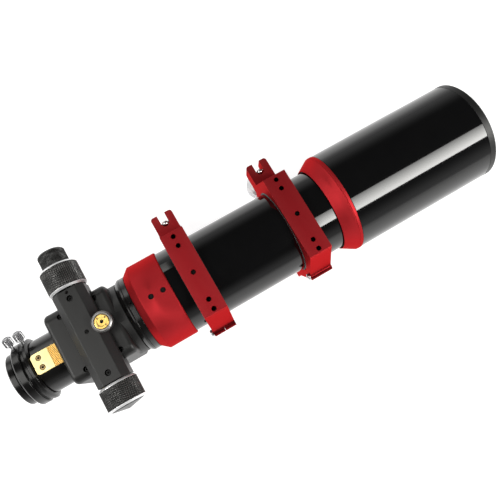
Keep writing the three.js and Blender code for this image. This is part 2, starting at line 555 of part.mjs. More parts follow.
// ---------------------------------------------------------------- knobs
function addFocusKnobs() {
  const { x, z } = PINION;
  const { r, chamfer, left, right, dish, dishR } = COARSE;
  const bore = PINION.shaftR + GAP;
  add('coarse_knob_left', turnedY([
    [bore, left[0] + dish], [dishR, left[0] + dish], [dishR, left[0]], [r - chamfer, left[0]],
    [r, left[0] + chamfer], [r, left[1] - chamfer], [r - chamfer, left[1]], [bore, left[1]],
  ], x, z, KNOB_SIDES), M.satinBlack);
  add('coarse_knob_cap', turnedY([
    [0, CAP.tip], [CAP.r, CAP.rim], [CAP.plugR, CAP.rim], [CAP.plugR, CAP.inner], [0, CAP.inner],
  ], x, z, KNOB_SIDES), M.satinBlack);

  const { pocketR, ballR, orbit, balls } = REDUCTION;
  const pocket = [right[0] + REDUCTION.floor, right[1] - REDUCTION.roof];
  const fineBore = FINE.shaftR + GAP;
  add('coarse_knob_right', turnedY([
    [bore, right[0]], [r - chamfer, right[0]], [r, right[0] + chamfer], [r, right[1] - chamfer],
    [r - chamfer, right[1]], [fineBore, right[1]], [fineBore, pocket[1]], [pocketR, pocket[1]],
    [pocketR, pocket[0]], [bore, pocket[0]],
  ], x, z, KNOB_SIDES), M.satinBlack);
  const [fineInner, fineOuter] = FINE.y;
  add('fine_focus_knob', turnedY([
    [0, fineInner], [FINE.r, fineInner], [FINE.r, fineOuter - FINE.edge], [FINE.r - FINE.edge, fineOuter],
    [0, fineOuter],
  ], x, z, KNOB_SIDES).add(rodY(FINE.shaftR, FINE.shaftFrom, fineInner + PAST, x, z)), M.satinBlack);
  for (let i = 0; i < balls; i += 1) {
    const turn = (i * 2 * Math.PI) / balls;
    const ball = new THREE.SphereGeometry(ballR, 8, 6);
    ball.translate(x + orbit * Math.cos(turn), (pocket[0] + pocket[1]) / 2, z + orbit * Math.sin(turn));
    add(`reduction_ball_${i + 1}`, toSolid(ball), M.silver);
  }
}

function addLockKnob() {
  const { x, y, r, bottom, top, stemR, stemTo, edge } = LOCK;
  const seat = top - LOCK_INSERT.depth;
  add('focus_lock_knob', turnedZ([
    [0, stemTo], [stemR, stemTo], [stemR, bottom], [r, bottom], [r, top - edge], [r - edge, top],
    [LOCK_INSERT.r, top], [LOCK_INSERT.r, seat], [0, seat],
  ], x, y), M.silver);
  add('lock_knob_insert', rodZ(LOCK_INSERT.r - GAP, seat + GAP, top - LOCK_INSERT.sunk, x, y), M.brass);
  add('lock_pad', rodZ(LOCK_PAD.r, LOCK_PAD.bottom, stemTo - GAP, x, y), M.nylon);
}

// ---------------------------------------------------------------- assembly
addTube();
addObjective();
addDewShield();
RING.xs.forEach((x, i) => addRing(i === 0 ? 'rear_ring' : 'front_ring', x));
addFocuserBody();
addPinionHousing();
addPinion();
addDrawtube();
addRearEnd();
addFocusKnobs();
addLockKnob();

// the origin is the middle of the footprint, on the plane of the ring feet
const footprint = new THREE.Box3().setFromObject(assembly);
const middle = footprint.getCenter(new THREE.Vector3());
assembly.position.set(-middle.x, -middle.y, -RING.foot);

const telescope = new THREE.Group();
telescope.add(assembly);
telescope.updateMatrixWorld(true);

export default telescope;
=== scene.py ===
from math import asin, cos, hypot, pi as PI, radians, sin, sqrt, tan

import bmesh
import bpy
from mathutils import Matrix, Vector


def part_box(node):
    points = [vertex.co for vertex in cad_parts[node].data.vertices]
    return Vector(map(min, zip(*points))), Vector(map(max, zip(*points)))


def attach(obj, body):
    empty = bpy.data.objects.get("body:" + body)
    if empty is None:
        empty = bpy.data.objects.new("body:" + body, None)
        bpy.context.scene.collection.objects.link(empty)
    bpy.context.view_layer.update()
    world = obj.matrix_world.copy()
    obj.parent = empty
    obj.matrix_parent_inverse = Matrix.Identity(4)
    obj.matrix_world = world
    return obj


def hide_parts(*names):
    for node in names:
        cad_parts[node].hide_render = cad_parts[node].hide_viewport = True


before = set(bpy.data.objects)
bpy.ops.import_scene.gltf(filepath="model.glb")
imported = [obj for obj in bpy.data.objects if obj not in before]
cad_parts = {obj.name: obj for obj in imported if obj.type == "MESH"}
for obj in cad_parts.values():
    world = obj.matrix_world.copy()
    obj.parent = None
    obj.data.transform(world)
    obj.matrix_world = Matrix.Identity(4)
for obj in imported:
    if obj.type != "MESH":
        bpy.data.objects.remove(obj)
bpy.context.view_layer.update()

MM = 0.001


# -------- sizes read from the frame
def centre_of(node, axis):
    low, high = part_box(node)
    return (low[axis] + high[axis]) / 2


ORIGIN = Vector((
    centre_of("rear_ring_upper_half", 0),
    centre_of("main_tube", 1),
    centre_of("main_tube", 2),
))


def span(node, axis):
    """Lowest and highest coordinate of a CAD node along one axis, in the tube frame, in mm."""
    low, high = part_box(node)
    return (low[axis] - ORIGIN[axis]) / MM, (high[axis] - ORIGIN[axis]) / MM


def radius(node, axis=1):
    """Outer radius of a CAD node in mm, from its width along one axis."""
    low, high = span(node, axis)
    return (high - low) / 2


RINGS = {name: sum(span(f"{name}_upper_half", 0)) / 2 for name in ("rear_ring", "front_ring")}
RING_HALF_WIDTH = radius("rear_ring_upper_half", 0)
RING_TOP = span("rear_ring_upper_half", 2)[1]
RING_FOOT = span("rear_ring_lower_half", 2)[0]
TUBE_R = radius("main_tube")
DEW_R = radius("dew_shield_tube")
DEW_WALL = 1.8
DEW_INNER = DEW_R - DEW_WALL
KNOB_X = sum(span("pinion_shaft", 0)) / 2
KNOB_Z = sum(span("pinion_shaft", 2)) / 2
BOLT_Y = sum(span("rear_ring_clamp_knob", 1)) / 2
BOLT_Z = 3.4
HINGE_Y = -55.5
DRAW_R = radius("drawtube")
BORE_R = 25.6
REAR_BORE = 35.5
LENS_R = 42
CENTRE = (0, 0, 0)


# -------- materials
def put(node, **values):
    """Sets a node's inputs; an underscore stands for the space in an input's name."""
    for key, value in values.items():
        node.inputs[key.replace("_", " ")].default_value = value


def map_range(tree, value, source=(0, 1), target=(0, 1), smooth=False):
    """Maps a value from one range onto another and hands back the result."""
    node = tree.nodes.new("ShaderNodeMapRange")
    if smooth:
        node.interpolation_type = "SMOOTHSTEP"
    put(node, From_Min=source[0], From_Max=source[1], To_Min=target[0], To_Max=target[1])
    tree.links.new(value, node.inputs["Value"])
    return node.outputs["Result"]


class Nodes:
    """A new material's node tree, with short ways to add to it."""

    def __init__(self, name):
        self.material = bpy.data.materials.new(name)
        self.material.use_nodes = True
        self.tree = self.material.node_tree
        self.shader = self.tree.nodes["Principled BSDF"]
        self.coords = self.add("ShaderNodeTexCoord").outputs["Object"]

    def add(self, kind, **values):
        node = self.tree.nodes.new(kind)
        for key, value in values.items():
            setattr(node, key, value)
        return node

    def link(self, source, target):
        self.tree.links.new(source, target)

    def noise(self, scale, detail=2.0, stretch=(1, 1, 1)):
        mapping = self.add("ShaderNodeMapping")
        put(mapping, Scale=stretch)
        self.link(self.coords, mapping.inputs["Vector"])
        noise = self.add("ShaderNodeTexNoise")
        put(noise, Scale=scale, Detail=detail)
        self.link(mapping.outputs["Vector"], noise.inputs["Vector"])
        return noise.outputs["Fac"]

    def ranged(self, value, low, high):
        return map_range(self.tree, value, target=(low, high))

    def between(self, value, colour_a, colour_b):
        node = self.add("ShaderNodeMix", data_type="RGBA")
        put(node, A=(*colour_a, 1), B=(*colour_b, 1))
        self.link(value, node.inputs["Factor"])
        return node.outputs["Result"]

    def bump(self, height, strength, distance, before=None):
        node = self.add("ShaderNodeBump")
        put(node, Strength=strength, Distance=distance)
        self.link(height, node.inputs["Height"])
        if before is not None:
            self.link(before, node.inputs["Normal"])
        return node.outputs["Normal"]

    def set(self, **values):
        put(self.shader, **values)

    def wire(self, **sources):
        """Links each source to the shader's input of that name."""
        for key, source in sources.items():
            self.link(source, self.shader.inputs[key.replace("_", " ")])


OUTER_EDGE = (0.53, 0.62)


def highlit_and_worn_edges(nodes, colour, edge_colour, amount):
    """Mixes a paler colour in along outer edges: painted edge highlight, and wear where a coating thins."""
    geometry = nodes.add("ShaderNodeNewGeometry")
    highlight_and_wear = map_range(nodes.tree, geometry.outputs["Pointiness"], OUTER_EDGE, (0, amount))
    mix = nodes.add("ShaderNodeMix", data_type="RGBA")
    put(mix, B=(*edge_colour, 1))
    nodes.link(highlight_and_wear, mix.inputs["Factor"])
    nodes.link(colour, mix.inputs["A"])
    return mix.outputs["Result"]


def gloss_black():
    """Thick gloss powder coat: faint orange peel and a slightly uneven gloss."""
    n = Nodes("gloss_black_coat")
    tone = n.between(n.noise(60), (0.0022, 0.0022, 0.0024), (0.0036, 0.0036, 0.0038))
    n.wire(Base_Color=tone)
    n.wire(Roughness=n.ranged(n.noise(900), 0.045, 0.085))
    n.wire(Normal=n.bump(n.noise(420, 1.0), 0.04, 0.00002))
    n.set(IOR=1.5, Specular_IOR_Level=0.5)
    return n.material


def fine_lines(axis):
    """Noise stretch that draws fine lines, one after another along the given axis."""
    return [1 if i == axis else 0.02 for i in range(3)]


def anodised(name, dark, light, edge, rough, metallic, lines=None, tint=(1, 1, 1, 1)):
    """Dyed anodised aluminium: bead-blast sparkle, or turning lines across the given axis."""
    n = Nodes(name)
    tone = n.between(n.noise(45, 4.0), dark, light)
    # Paler outer edges: painted highlight and wear.
    n.wire(Base_Color=highlit_and_worn_edges(n, tone, edge, 0.35))
    n.wire(Roughness=n.ranged(n.noise(2600, 2.0), rough - 0.06, rough + 0.07))
    normal = n.bump(n.noise(5200, 3.0), 0.16, 0.00003)
    if lines is not None:
        normal = n.bump(n.noise(7000, 2.0, fine_lines(lines)), 0.2, 0.00002, normal)
    n.wire(Normal=normal)
    n.set(Metallic=metallic, Anisotropic=0.0 if lines is None else 0.4, Specular_Tint=tint)
    return n.material


def bare_metal(name, dark, light, rough, lines=None, anisotropic=0.5):
    """Bright turned metal: fine lines round the axis and slightly uneven polish."""
    n = Nodes(name)
    n.wire(Base_Color=n.between(n.noise(180, 3.0), dark, light))
    n.wire(Roughness=n.ranged(n.noise(1400, 3.0), rough - 0.06, rough + 0.08))
    stretch = (1, 1, 1) if lines is None else fine_lines(lines)
    n.wire(Normal=n.bump(n.noise(6000, 2.0, stretch), 0.22, 0.00002))
    n.set(Metallic=1.0, Anisotropic=anisotropic)
    return n.material


def flat_coat(name, dark, light, rough, grain, depth, sheen=0.0):
    """Matt coat or fibre: flock, felt, paint or moulded nylon."""
    n = Nodes(name)
    n.wire(Base_Color=n.between(n.noise(grain, 4.0), dark, light))
    n.wire(Roughness=n.ranged(n.noise(grain * 2), rough - 0.05, min(1, rough + 0.04)))
    n.wire(Normal=n.bump(n.noise(grain * 3, 4.0), 0.5, depth))
    n.set(Sheen_Weight=sheen, Sheen_Roughness=0.5, Specular_IOR_Level=0.3)
    return n.material


def lens_glass():
    """Coated optical glass with a faint green-violet bloom."""
    n = Nodes("lens_glass")
    bloom = n.add("ShaderNodeLayerWeight")
    put(bloom, Blend=0.35)
    tint = n.between(bloom.outputs["Facing"], (0.93, 0.98, 0.96), (0.82, 0.86, 1.0))
    n.wire(Base_Color=tint)
    n.wire(Roughness=n.ranged(n.noise(30), 0.0, 0.012))
    n.set(Transmission_Weight=1.0, IOR=1.5, Specular_IOR_Level=0.35)
    n.set(Specular_Tint=(0.45, 0.95, 0.7, 1))
    return n.material


# Darker reds for the hinge knuckles: painted shade.
KNUCKLE_PAINTED_SHADE_LOW = (0.10, 0.004, 0.005)
KNUCKLE_PAINTED_SHADE_HIGH = (0.15, 0.006, 0.008)
RED_DARK = (0.4, 0.02, 0.025)
RED_LIGHT = (0.45, 0.024, 0.03)
RED_EDGE = (0.62, 0.09, 0.09)
RED_TURNED = (0.44, 0.024, 0.029)
RED_BRIGHT = (0.49, 0.028, 0.034)
RED_SHEEN = (1.0, 0.15, 0.16, 1)
BLACK_DEEP = (0.0038, 0.0037, 0.0036)
BLACK_DARK = (0.006, 0.0058, 0.0056)
BLACK_LIGHT = (0.01, 0.0098, 0.0094)
BLACK_EDGE = (0.045, 0.045, 0.046)
# Lighter tips of the fine knob's knurl: painted highlight.
FINE_TIP_HIGHLIGHT_LOW = (0.030, 0.0295, 0.0285)
FINE_TIP_HIGHLIGHT_HIGH = (0.060, 0.059, 0.057)
LOOK = {
    "gloss": gloss_black(),
    "red": anodised("red_anodised_milled", RED_DARK, RED_LIGHT, RED_EDGE, 0.46, 0.9, tint=RED_SHEEN),
    # Hinge knuckle red, darkened as painted shade.
    "red_painted_shade": anodised("red_anodised_knuckle_painted_shade", KNUCKLE_PAINTED_SHADE_LOW, KNUCKLE_PAINTED_SHADE_HIGH, RED_DARK, 0.3, 0.9, 0, RED_SHEEN),
    "red_turned": anodised("red_anodised_turned", RED_TURNED, RED_BRIGHT, RED_EDGE, 0.56, 0.85, 0, RED_SHEEN),
    "black": anodised("black_anodised_milled", BLACK_DARK, BLACK_LIGHT, BLACK_EDGE, 0.44, 0.0),
    "black_turned": anodised("black_anodised_turned", BLACK_DEEP, BLACK_DARK, BLACK_EDGE, 0.19, 0.0, 0),
    "black_knob": anodised("black_anodised_knob", BLACK_DARK, BLACK_LIGHT, BLACK_EDGE, 0.32, 0.0, 1),
    # Lighter tips of the coarse knobs' knurl: painted highlight.
    "knurl_painted_highlight": anodised("knurl_tips_painted_highlight", (0.15, 0.147, 0.142), (0.27, 0.266, 0.258), BLACK_EDGE, 0.38, 0.7),
    "fine_knurl_painted_highlight": anodised("fine_knurl_tips_painted_highlight", FINE_TIP_HIGHLIGHT_LOW, FINE_TIP_HIGHLIGHT_HIGH, BLACK_EDGE, 0.4, 0.6),
    "rim": bare_metal("bright_cut_aluminium", (0.92, 0.92, 0.93), (0.98, 0.98, 0.99), 0.48, 1, 0.0),
    "silver": bare_metal("turned_aluminium", (0.80, 0.80, 0.81), (0.90, 0.90, 0.91), 0.46, 2, 0.2),
    "lock": bare_metal("lock_ring_aluminium", (0.22, 0.215, 0.21), (0.34, 0.33, 0.32), 0.33, 2),
    "thumb": bare_metal("knurled_aluminium", (0.30, 0.30, 0.31), (0.44, 0.44, 0.45), 0.36),
    "steel": bare_metal("stainless_steel", (0.52, 0.52, 0.53), (0.66, 0.66, 0.67), 0.24),
    "dark_steel": bare_metal("blackened_steel", (0.02, 0.02, 0.02), (0.04, 0.04, 0.04), 0.4),
    # Near-black walls of drilled holes: painted shade.
    "hole_wall_shade": bare_metal("painted_hole_shade", (0.010, 0.009, 0.009), (0.020, 0.018, 0.018), 0.4),
    "brass": bare_metal("brushed_brass", (0.95, 0.76, 0.34), (1.0, 0.84, 0.44), 0.38, 1),
    "brass_teeth": bare_metal("cut_brass_teeth", (0.88, 0.60, 0.18), (0.96, 0.70, 0.26), 0.36),
    # Bronze for the rack screws; as walls of holes it is painted shade.
    "bronze_and_painted_hole_shade": bare_metal("bronze_screw_and_painted_hole_shade", (0.30, 0.20, 0.09), (0.42, 0.30, 0.15), 0.34),
    "gold": bare_metal("gold_anodised_insert", (0.66, 0.42, 0.09), (0.86, 0.62, 0.20), 0.24),
    # Flat black paint inside the tube; on hex socket walls it is painted shade.
    "flat_black_and_painted_shade": flat_coat("flat_black_paint_and_painted_shade", (0.004, 0.004, 0.004), (0.009, 0.009, 0.009), 0.92, 900, 0.0001),
    "felt": flat_coat("black_felt", (0.006, 0.006, 0.006), (0.016, 0.016, 0.016), 0.95, 2200, 0.0002, 0.4),
    "nylon": flat_coat("natural_nylon", (0.66, 0.63, 0.55), (0.75, 0.72, 0.64), 0.5, 500, 0.00003),
    "glass": lens_glass(),
}


# -------- mesh tools
def place(name, data):
    """Puts a new object into the scene."""
    made = bpy.data.objects.new(name, data)
    bpy.context.scene.collection.objects.link(made)
    return made


TURN = {
    "X": lambda r, t, a: (a, r * cos(t), r * sin(t)),
    "Y": lambda r, t, a: (r * sin(t), a, r * cos(t)),
    "Z": lambda r, t, a: (r * cos(t), r * sin(t), a),
}
FLAT = {
    "X": lambda u, v, a: (a, u, v),
    "Y": lambda u, v, a: (u, a, v),
    "Z": lambda u, v, a: (u, v, a),
}


def rounded(points, edge, closed=True):
    """A profile with each real corner replaced by a small curve."""
    out = []
    count = len(points)
    for i, point in enumerate(points):
        if not closed and i in (0, count - 1):
            out.append(point)
            continue
        here = Vector(point)
        to_a = Vector(points[i - 1]) - here
        to_b = Vector(points[(i + 1) % count]) - here
        shortest = min(to_a.length, to_b.length)
        if edge <= 0 or shortest < 1e-6 or to_a.angle(to_b) > radians(165):
            out.append(point)
            continue
        a = here + to_a.normalized() * min(edge, 0.42 * to_a.length)
        b = here + to_b.normalized() * min(edge, 0.42 * to_b.length)
        for t in (0.0, 1 / 3, 2 / 3, 1.0):
            out.append(tuple(a * (1 - t) ** 2 + here * 2 * t * (1 - t) + b * t * t))
    return out


def supported(points, closed, inset=0.25, long=2.0):
    """Adds a point just inside both ends of each long stretch, so that it shades straight."""
    out = []
    count = len(points)
    for i, point in enumerate(points):
        out.append(point)
        if i == count - 1 and not closed:
            break
        here, there = Vector(point), Vector(points[(i + 1) % count])
        step = there - here
        if step.length > long:
            out.append(tuple(here + step.normalized() * inset))
            out.append(tuple(there - step.normalized() * inset))
    return out


def build(name, verts, faces, look, sharp=32):
    mesh = bpy.data.meshes.new(name)
    mesh.from_pydata([ORIGIN + Vector(v) * MM for v in verts], [], faces)
    bm = bmesh.new()
    bm.from_mesh(mesh)
    bmesh.ops.remove_doubles(bm, verts=bm.verts, dist=1e-8)
    bmesh.ops.recalc_face_normals(bm, faces=bm.faces)
    bm.to_mesh(mesh)
    bm.free()
    piece = place(name, mesh)
    mesh.materials.append(LOOK[look])
    shade(piece, sharp)
    return piece


def shade(piece, sharp=32):
    for polygon in piece.data.polygons:
        polygon.use_smooth = True
    piece.data.set_sharp_from_angle(angle=radians(sharp))


def lathe(name, profile, look, axis="X", at=(0, 0, 0), sides=96, edge=0.25, relief=None):
    """A solid of revolution; the profile is [radius, distance along the axis] in mm."""
    closed = not (profile[0][0] == 0 and profile[-1][0] == 0)
    loop = supported(rounded(profile, edge, closed), closed)
    verts, faces, rings = [], [], []
    for r, a in loop:
        steps = 1 if r < 1e-6 else sides
        rings.append((len(verts), steps))
        for i in range(steps):
            t = 2 * PI * i / sides
            reach = r if relief is None else relief(t, a, r)
            x, y, z = TURN[axis](reach, t, a)
            verts.append((x + at[0], y + at[1], z + at[2]))
    pairs = list(zip(rings, rings[1:]))
    if closed:
        pairs.append((rings[-1], rings[0]))
    for (p, p_steps), (q, q_steps) in pairs:
        for i in range(sides):
            j = (i + 1) % sides
            corners = [p + i % p_steps, p + j % p_steps, q + j % q_steps, q + i % q_steps]
            corners = list(dict.fromkeys(corners))
            if len(corners) > 2:
                faces.append(corners)
    return build(name, verts, faces, look)


def prism(name, outline, look, axis, a0, a1, edge=0.4, segments=2):
    """An outline extruded along an axis, with all its sharp edges softened."""
    count = len(outline)
    verts = [FLAT[axis](u, v, a0) for u, v in outline] + [FLAT[axis](u, v, a1) for u, v in outline]
    faces = [list(range(count)), list(range(count, 2 * count))]
    faces += [[i, (i + 1) % count, count + (i + 1) % count, count + i] for i in range(count)]
    piece = build(name, verts, faces, look)
    if edge > 0:
        soften(piece, edge, segments)
    return piece


def apply_modifiers(piece):
    graph = bpy.context.evaluated_depsgraph_get()
    solved = bpy.data.meshes.new_from_object(piece.evaluated_get(graph))
    old = piece.data
    piece.modifiers.clear()
    piece.data = solved
    bpy.data.meshes.remove(old)


def soften(piece, edge, segments=2, angle=34):
    """Bevels every edge that turns by more than the angle."""
    bevel = piece.modifiers.new("bevel", "BEVEL")
    bevel.width = edge * MM
    bevel.segments = segments
    bevel.limit_method = "ANGLE"
    bevel.angle_limit = radians(angle)
    apply_modifiers(piece)
    shade(piece, 40)


def combine(piece, operation, tools):
    """Cuts or joins each tool in turn; faces that come from a tool keep its look."""
    for tool in tools:
        boolean = piece.modifiers.new("combine", "BOOLEAN")
        boolean.operation = operation
        boolean.solver = "EXACT"
        boolean.material_mode = "TRANSFER"
        boolean.object = tool
        apply_modifiers(piece)
        bpy.data.objects.remove(tool)
    shade(piece, 34)
    return piece


def cut(piece, *tools):
    return combine(piece, "DIFFERENCE", tools)


def join(piece, *others):
    return combine(piece, "UNION", others)


def even_normals(piece):
    """Keeps large flat faces flat-looking beside their softened edges."""
    weighted = piece.modifiers.new("even_normals", "WEIGHTED_NORMAL")
    weighted.keep_sharp = True
    weighted.weight = 80


def paint(piece, look, where):
    """Gives a second material to the faces whose centre (tube frame, mm) passes the test."""
    piece.data.materials.append(LOOK[look])
    slot = len(piece.data.materials) - 1
    for polygon in piece.data.polygons:
        x, y, z = (polygon.center - ORIGIN) / MM
        if where(x, y, z):
            polygon.material_index = slot


def within(r):
    """Test for faces less than r mm from the optical axis."""
    return lambda x, y, z: hypot(y, z) < r


def fit(piece, body, slot, *nodes):
    """Hangs a finished piece on its body and hides the CAD nodes that it stands for; slot is not used."""
    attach(piece, body)
    if nodes:
        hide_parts(*nodes)
    return piece


def hole(axis, at, r, floor, mouth, look="hole_wall_shade", chamfer=0.45, pitch=0.0, sides=32):
    """A cutter for a blind hole with a small countersink, threaded when it has a pitch; its walls take the
    look, and the dark default is painted shade.
    """
    out = 1 if mouth > floor else -1
    rim = mouth - out * chamfer
    profile = [(0, floor), (r, floor)]
    turns = int(abs(rim - floor) / pitch) if pitch else 0
    for i in range(turns):
        a = floor + out * pitch * (i + 0.5)
        crest = out * 0.1 * pitch
        profile += [(r, a - out * 0.35 * pitch), (r - 0.3, a - crest), (r - 0.3, a + crest)]
    profile += [(r, rim), (r + chamfer + 0.6, mouth + out * 0.6), (0, mouth + out * 0.6)]
    return lathe("tool", profile, look, axis, at, sides, 0)


def turned_about_axis(piece, angle, x):
    """Turns a piece about the optical axis, then moves it along to x."""
    move = Matrix.Translation(ORIGIN + Vector((x, 0, 0)) * MM)
    piece.data.transform(move @ Matrix.Rotation(angle, 4, "X") @ Matrix.Translation(-ORIGIN))
    return piece


def oblong(u0, u1, v0, v1):
    """A rectangle's corners: an outline, or the profile of a plain ring or rod."""
    return [(u0, v0), (u1, v0), (u1, v1), (u0, v1)]


def rod(look, axis, at, r, a0, a1, sides):
    """A plain cylinder to cut with or join on."""
    return lathe("tool", oblong(0, r, a0, a1), look, axis, at, sides, 0)


# Hex socket cutter: the flat black it leaves on the socket walls is painted shade.
def hexagon(axis, at, r, a0, a1):
    return rod("flat_black_and_painted_shade", axis, at, r, a0, a1, 6)


def slab(axis, us, vs, ends, look="black"):
    """A square-cornered block to cut with, given by its three ranges."""
    return prism("tool", oblong(*us, *vs), look, axis, *ends, 0)


def arc(r, start, end, steps, cx=0.0, cy=0.0):
    angles = [start + (end - start) * i / steps for i in range(steps + 1)]
    return [(cx + r * cos(angle), cy + r * sin(angle)) for angle in angles]


def band(r, a0, a1, steps):
    """Points at one radius, close enough for a knurl to be pressed into them."""
    return [(r, a0 + (a1 - a0) * i / steps) for i in range(steps + 1)]


def triangle_wave(value):
    return abs((value % 1.0) * 2 - 1)


def diamond_knurl(r, a0, a1, count, pitch, depth):
    """Crossed cuts that leave rows of small flat-topped pyramids between a0 and a1."""
    def relief(t, a, reach):
        if abs(reach - r) > 0.02 or not a0 < a < a1:
            return reach
        around = t / (2 * PI) * count
        along = a / pitch
        height = min(triangle_wave(around + along), triangle_wave(around - along))
        return reach - depth * (1 - min(1, 1.5 * height))
    return relief


def straight_knurl(r, count, depth):
    def relief(t, a, reach):
        return reach - depth * triangle_wave(t / (2 * PI) * count) if abs(reach - r) < 0.02 else reach
    return relief


# -------- optical tube
def make_tube():
    x0, x1 = span("main_tube", 0)
    inner = TUBE_R - 2
    tube = lathe("main_tube_shell", oblong(inner, TUBE_R, x0, x1), "gloss", sides=192)
    paint(tube, "flat_black_and_painted_shade", within(inner + 0.4))
    fit(tube, "optical_tube", "black_gloss", "main_tube")
    make_collar()
    opening = 36
    for i in (1, 2):
        node = f"tube_baffle_{i}"
        x0, x1 = span(node, 0)
        stop = [(opening, x0 + 0.6), (radius(node), x0), (radius(node), x1), (opening, x1 - 0.7)]
        fit(lathe(f"{node}_ring", stop, "flat_black_and_painted_shade", edge=0.1), "optical_tube", "flock_black", node)
    make_rotator_ring()


def make_collar():
    """Red collar over the rear of the tube, with two blind holes on top."""
    x0, x1 = span("rear_collar", 0)
    r = radius("rear_collar")
    seat, seat_end = TUBE_R + 0.3, -58.3
    beside_holes = [(r, x) for x in (-50, -42.5, -37.2, -29.6)]
    collar = lathe("rear_collar_ring", [
        (REAR_BORE, x0), (40.6, x0), (41.2, x0 + 0.7), (r, x0 + 7.2), *beside_holes,
        (r, x1 - 0.9), (r - 0.9, x1), (seat, x1), (seat, seat_end), (REAR_BORE, seat_end),
    ], "red_turned", sides=192, edge=0.35)
    for x in (-46.2, -33.3):
        cut(collar, hole("Z", (x, 0, 0), 2.5, r - 1.6, r + 0.1, chamfer=0.35))
    even_normals(collar)

    def inside(x, y, z):
        reach = hypot(y, z)
        return reach < REAR_BORE + 0.5 or (seat_end - 0.1 < x < x1 - 1 and reach < seat + 0.3)

    paint(collar, "flat_black_and_painted_shade", inside)
    fit(collar, "optical_tube", "red_anodised", "rear_collar")


def make_rotator_ring():
    """Black ring between collar and focuser, with a fine groove and three screw holes."""
    x0, x1 = span("rotator_ring", 0)
    r = radius("rotator_ring")
    groove = x0 + 5.4
    ring = lathe("rotator_ring_body", [
        (REAR_BORE, x0), (38.2, x0), (r - 0.2, x0 + 2.9), (r, x0 + 3.2), (r, groove - 0.3),
        (r - 0.5, groove - 0.1), (r - 0.5, groove + 0.1), (r, groove + 0.3), (r, x1), (REAR_BORE, x1),
    ], "black_turned", sides=160, edge=0.15)
    for degrees in (-8, 112, 232):
        tool = hole("Z", CENTRE, 1.1, r - 1.4, r, chamfer=0.25, sides=20)
        cut(ring, turned_about_axis(tool, radians(degrees), groove + 3.0))
    fit(ring, "optical_tube", "black_satin", "rotator_ring")


def lens_face(edge, middle, steps=8):
    """One face of a lens, from the axis out to the rim."""
    return [(LENS_R * i / steps, middle + (edge - middle) * (i / steps) ** 2) for i in range(steps + 1)]


def make_lens(node, back, front):
    """A lens; each face is given as its distance at the rim and at the axis."""
    profile = lens_face(*back) + lens_face(*front)[::-1]
    lens = lathe(f"{node}_glass", profile, "glass", sides=128, edge=0)
    fit(lens, "optical_tube", "lens_glass", node)


def make_objective():
    x0, x1 = span("objective_cell", 0)
    mouth, seat, seat_end = 40, 42.4, 281.1
    land, groove = 46.8, 46.1
    ring = [(mouth, x0), (radius("objective_cell"), x0), (radius("objective_cell"), x0 + 3)]
    for i in range(5):
        x = x0 + 4.5 + i * 4
        ring += [(land, x), (groove, x + 0.5), (groove, x + 1.5), (land, x + 2)]
    ring += [(land, x1), (seat, x1), (seat, seat_end), (mouth, seat_end)]
    cell = lathe("objective_cell_body", ring, "black_turned", sides=160)
    fit(cell, "optical_tube", "black_satin", "objective_cell")

    x0, x1 = span("flint_lens", 0)
    make_lens("flint_lens", (x0 + 0.2, x0 + 2.4), (x1, x1 - 2.2))
    x0, x1 = span("crown_lens", 0)
    make_lens("crown_lens", (290.8, x0 + 0.05), (297.6, x1))
    spacer = oblong(40, LENS_R, *span("lens_spacer", 0))
    fit(lathe("lens_spacer_ring", spacer, "brass", sides=128), "optical_tube", "brass", "lens_spacer")

    x0, x1 = span("lens_retaining_ring", 0)
    profile = [(38.6, x0), (LENS_R, x0), (LENS_R, x1), (40.2, x1)]
    keeper = lathe("lens_retaining_thread", profile, "flat_black_and_painted_shade", sides=128)
    for turn in (0, PI):
        y, z = 41.4 * cos(turn), 41.4 * sin(turn)
        cut(keeper, hole("X", (0, y, z), 1.0, x1 - 1.5, x1, chamfer=0.1, sides=20))
    fit(keeper, "optical_tube", "flock_black", "lens_retaining_ring")


def make_dew_shield():
    x0, x1 = span("dew_shield_tube", 0)
    wall = [(DEW_R, x0), (DEW_R, x1)]
    ribs, plain_end = 30, 4
    pitch = (x1 - x0 - 2 * plain_end) / ribs
    for i in range(ribs, 0, -1):
        x = x0 + plain_end + i * pitch
        wall += [(DEW_INNER, x), (DEW_INNER + 0.5, x - pitch / 2)]
    wall += [(DEW_INNER, x0 + plain_end), (DEW_INNER, x0)]
    tube = lathe("dew_shield_shell", wall, "gloss", sides=192, edge=0.15)
    paint(tube, "flat_black_and_painted_shade", within(DEW_R - 0.7))
    fit(tube, "dew_shield", "black_gloss", "dew_shield_tube")

    x0, x1 = span("dew_shield_front_ring", 0)
    rim = lathe("dew_shield_front_band", [
        (DEW_INNER - 1.2, x0), (DEW_R, x0), (DEW_R, x1 - 1.6), (DEW_R - 1.6, x1), (DEW_INNER - 1.2, x1),
    ], "black", sides=192)
    paint(rim, "flat_black_and_painted_shade", within(DEW_INNER - 1))
    fit(rim, "dew_shield", "black_satin", "dew_shield_front_ring")

    x0, x1 = span("dew_shield_cone", 0)
    r = radius("dew_shield_cone")
    cone = lathe("dew_shield_cone_ring", [
        (46.3, x0), (46.9, x0), (r - 0.15, x1 - 4.0), (r - 0.55, x1 - 3.7), (r - 0.55, x1 - 3.3),
        (r, x1 - 3.0), (r, x1), (DEW_INNER - 1.5, x1), (46.3, x1 - 5),
    ], "red_turned", sides=192, edge=0.2)
    fit(cone, "dew_shield", "red_anodised", "dew_shield_cone")
    felt = oblong(TUBE_R + 0.3, 46.0, *span("dew_shield_felt", 0))
    lining = lathe("dew_shield_felt_lining", felt, "felt", sides=160, edge=0.1)
    fit(lining, "dew_shield", "felt", "dew_shield_felt")


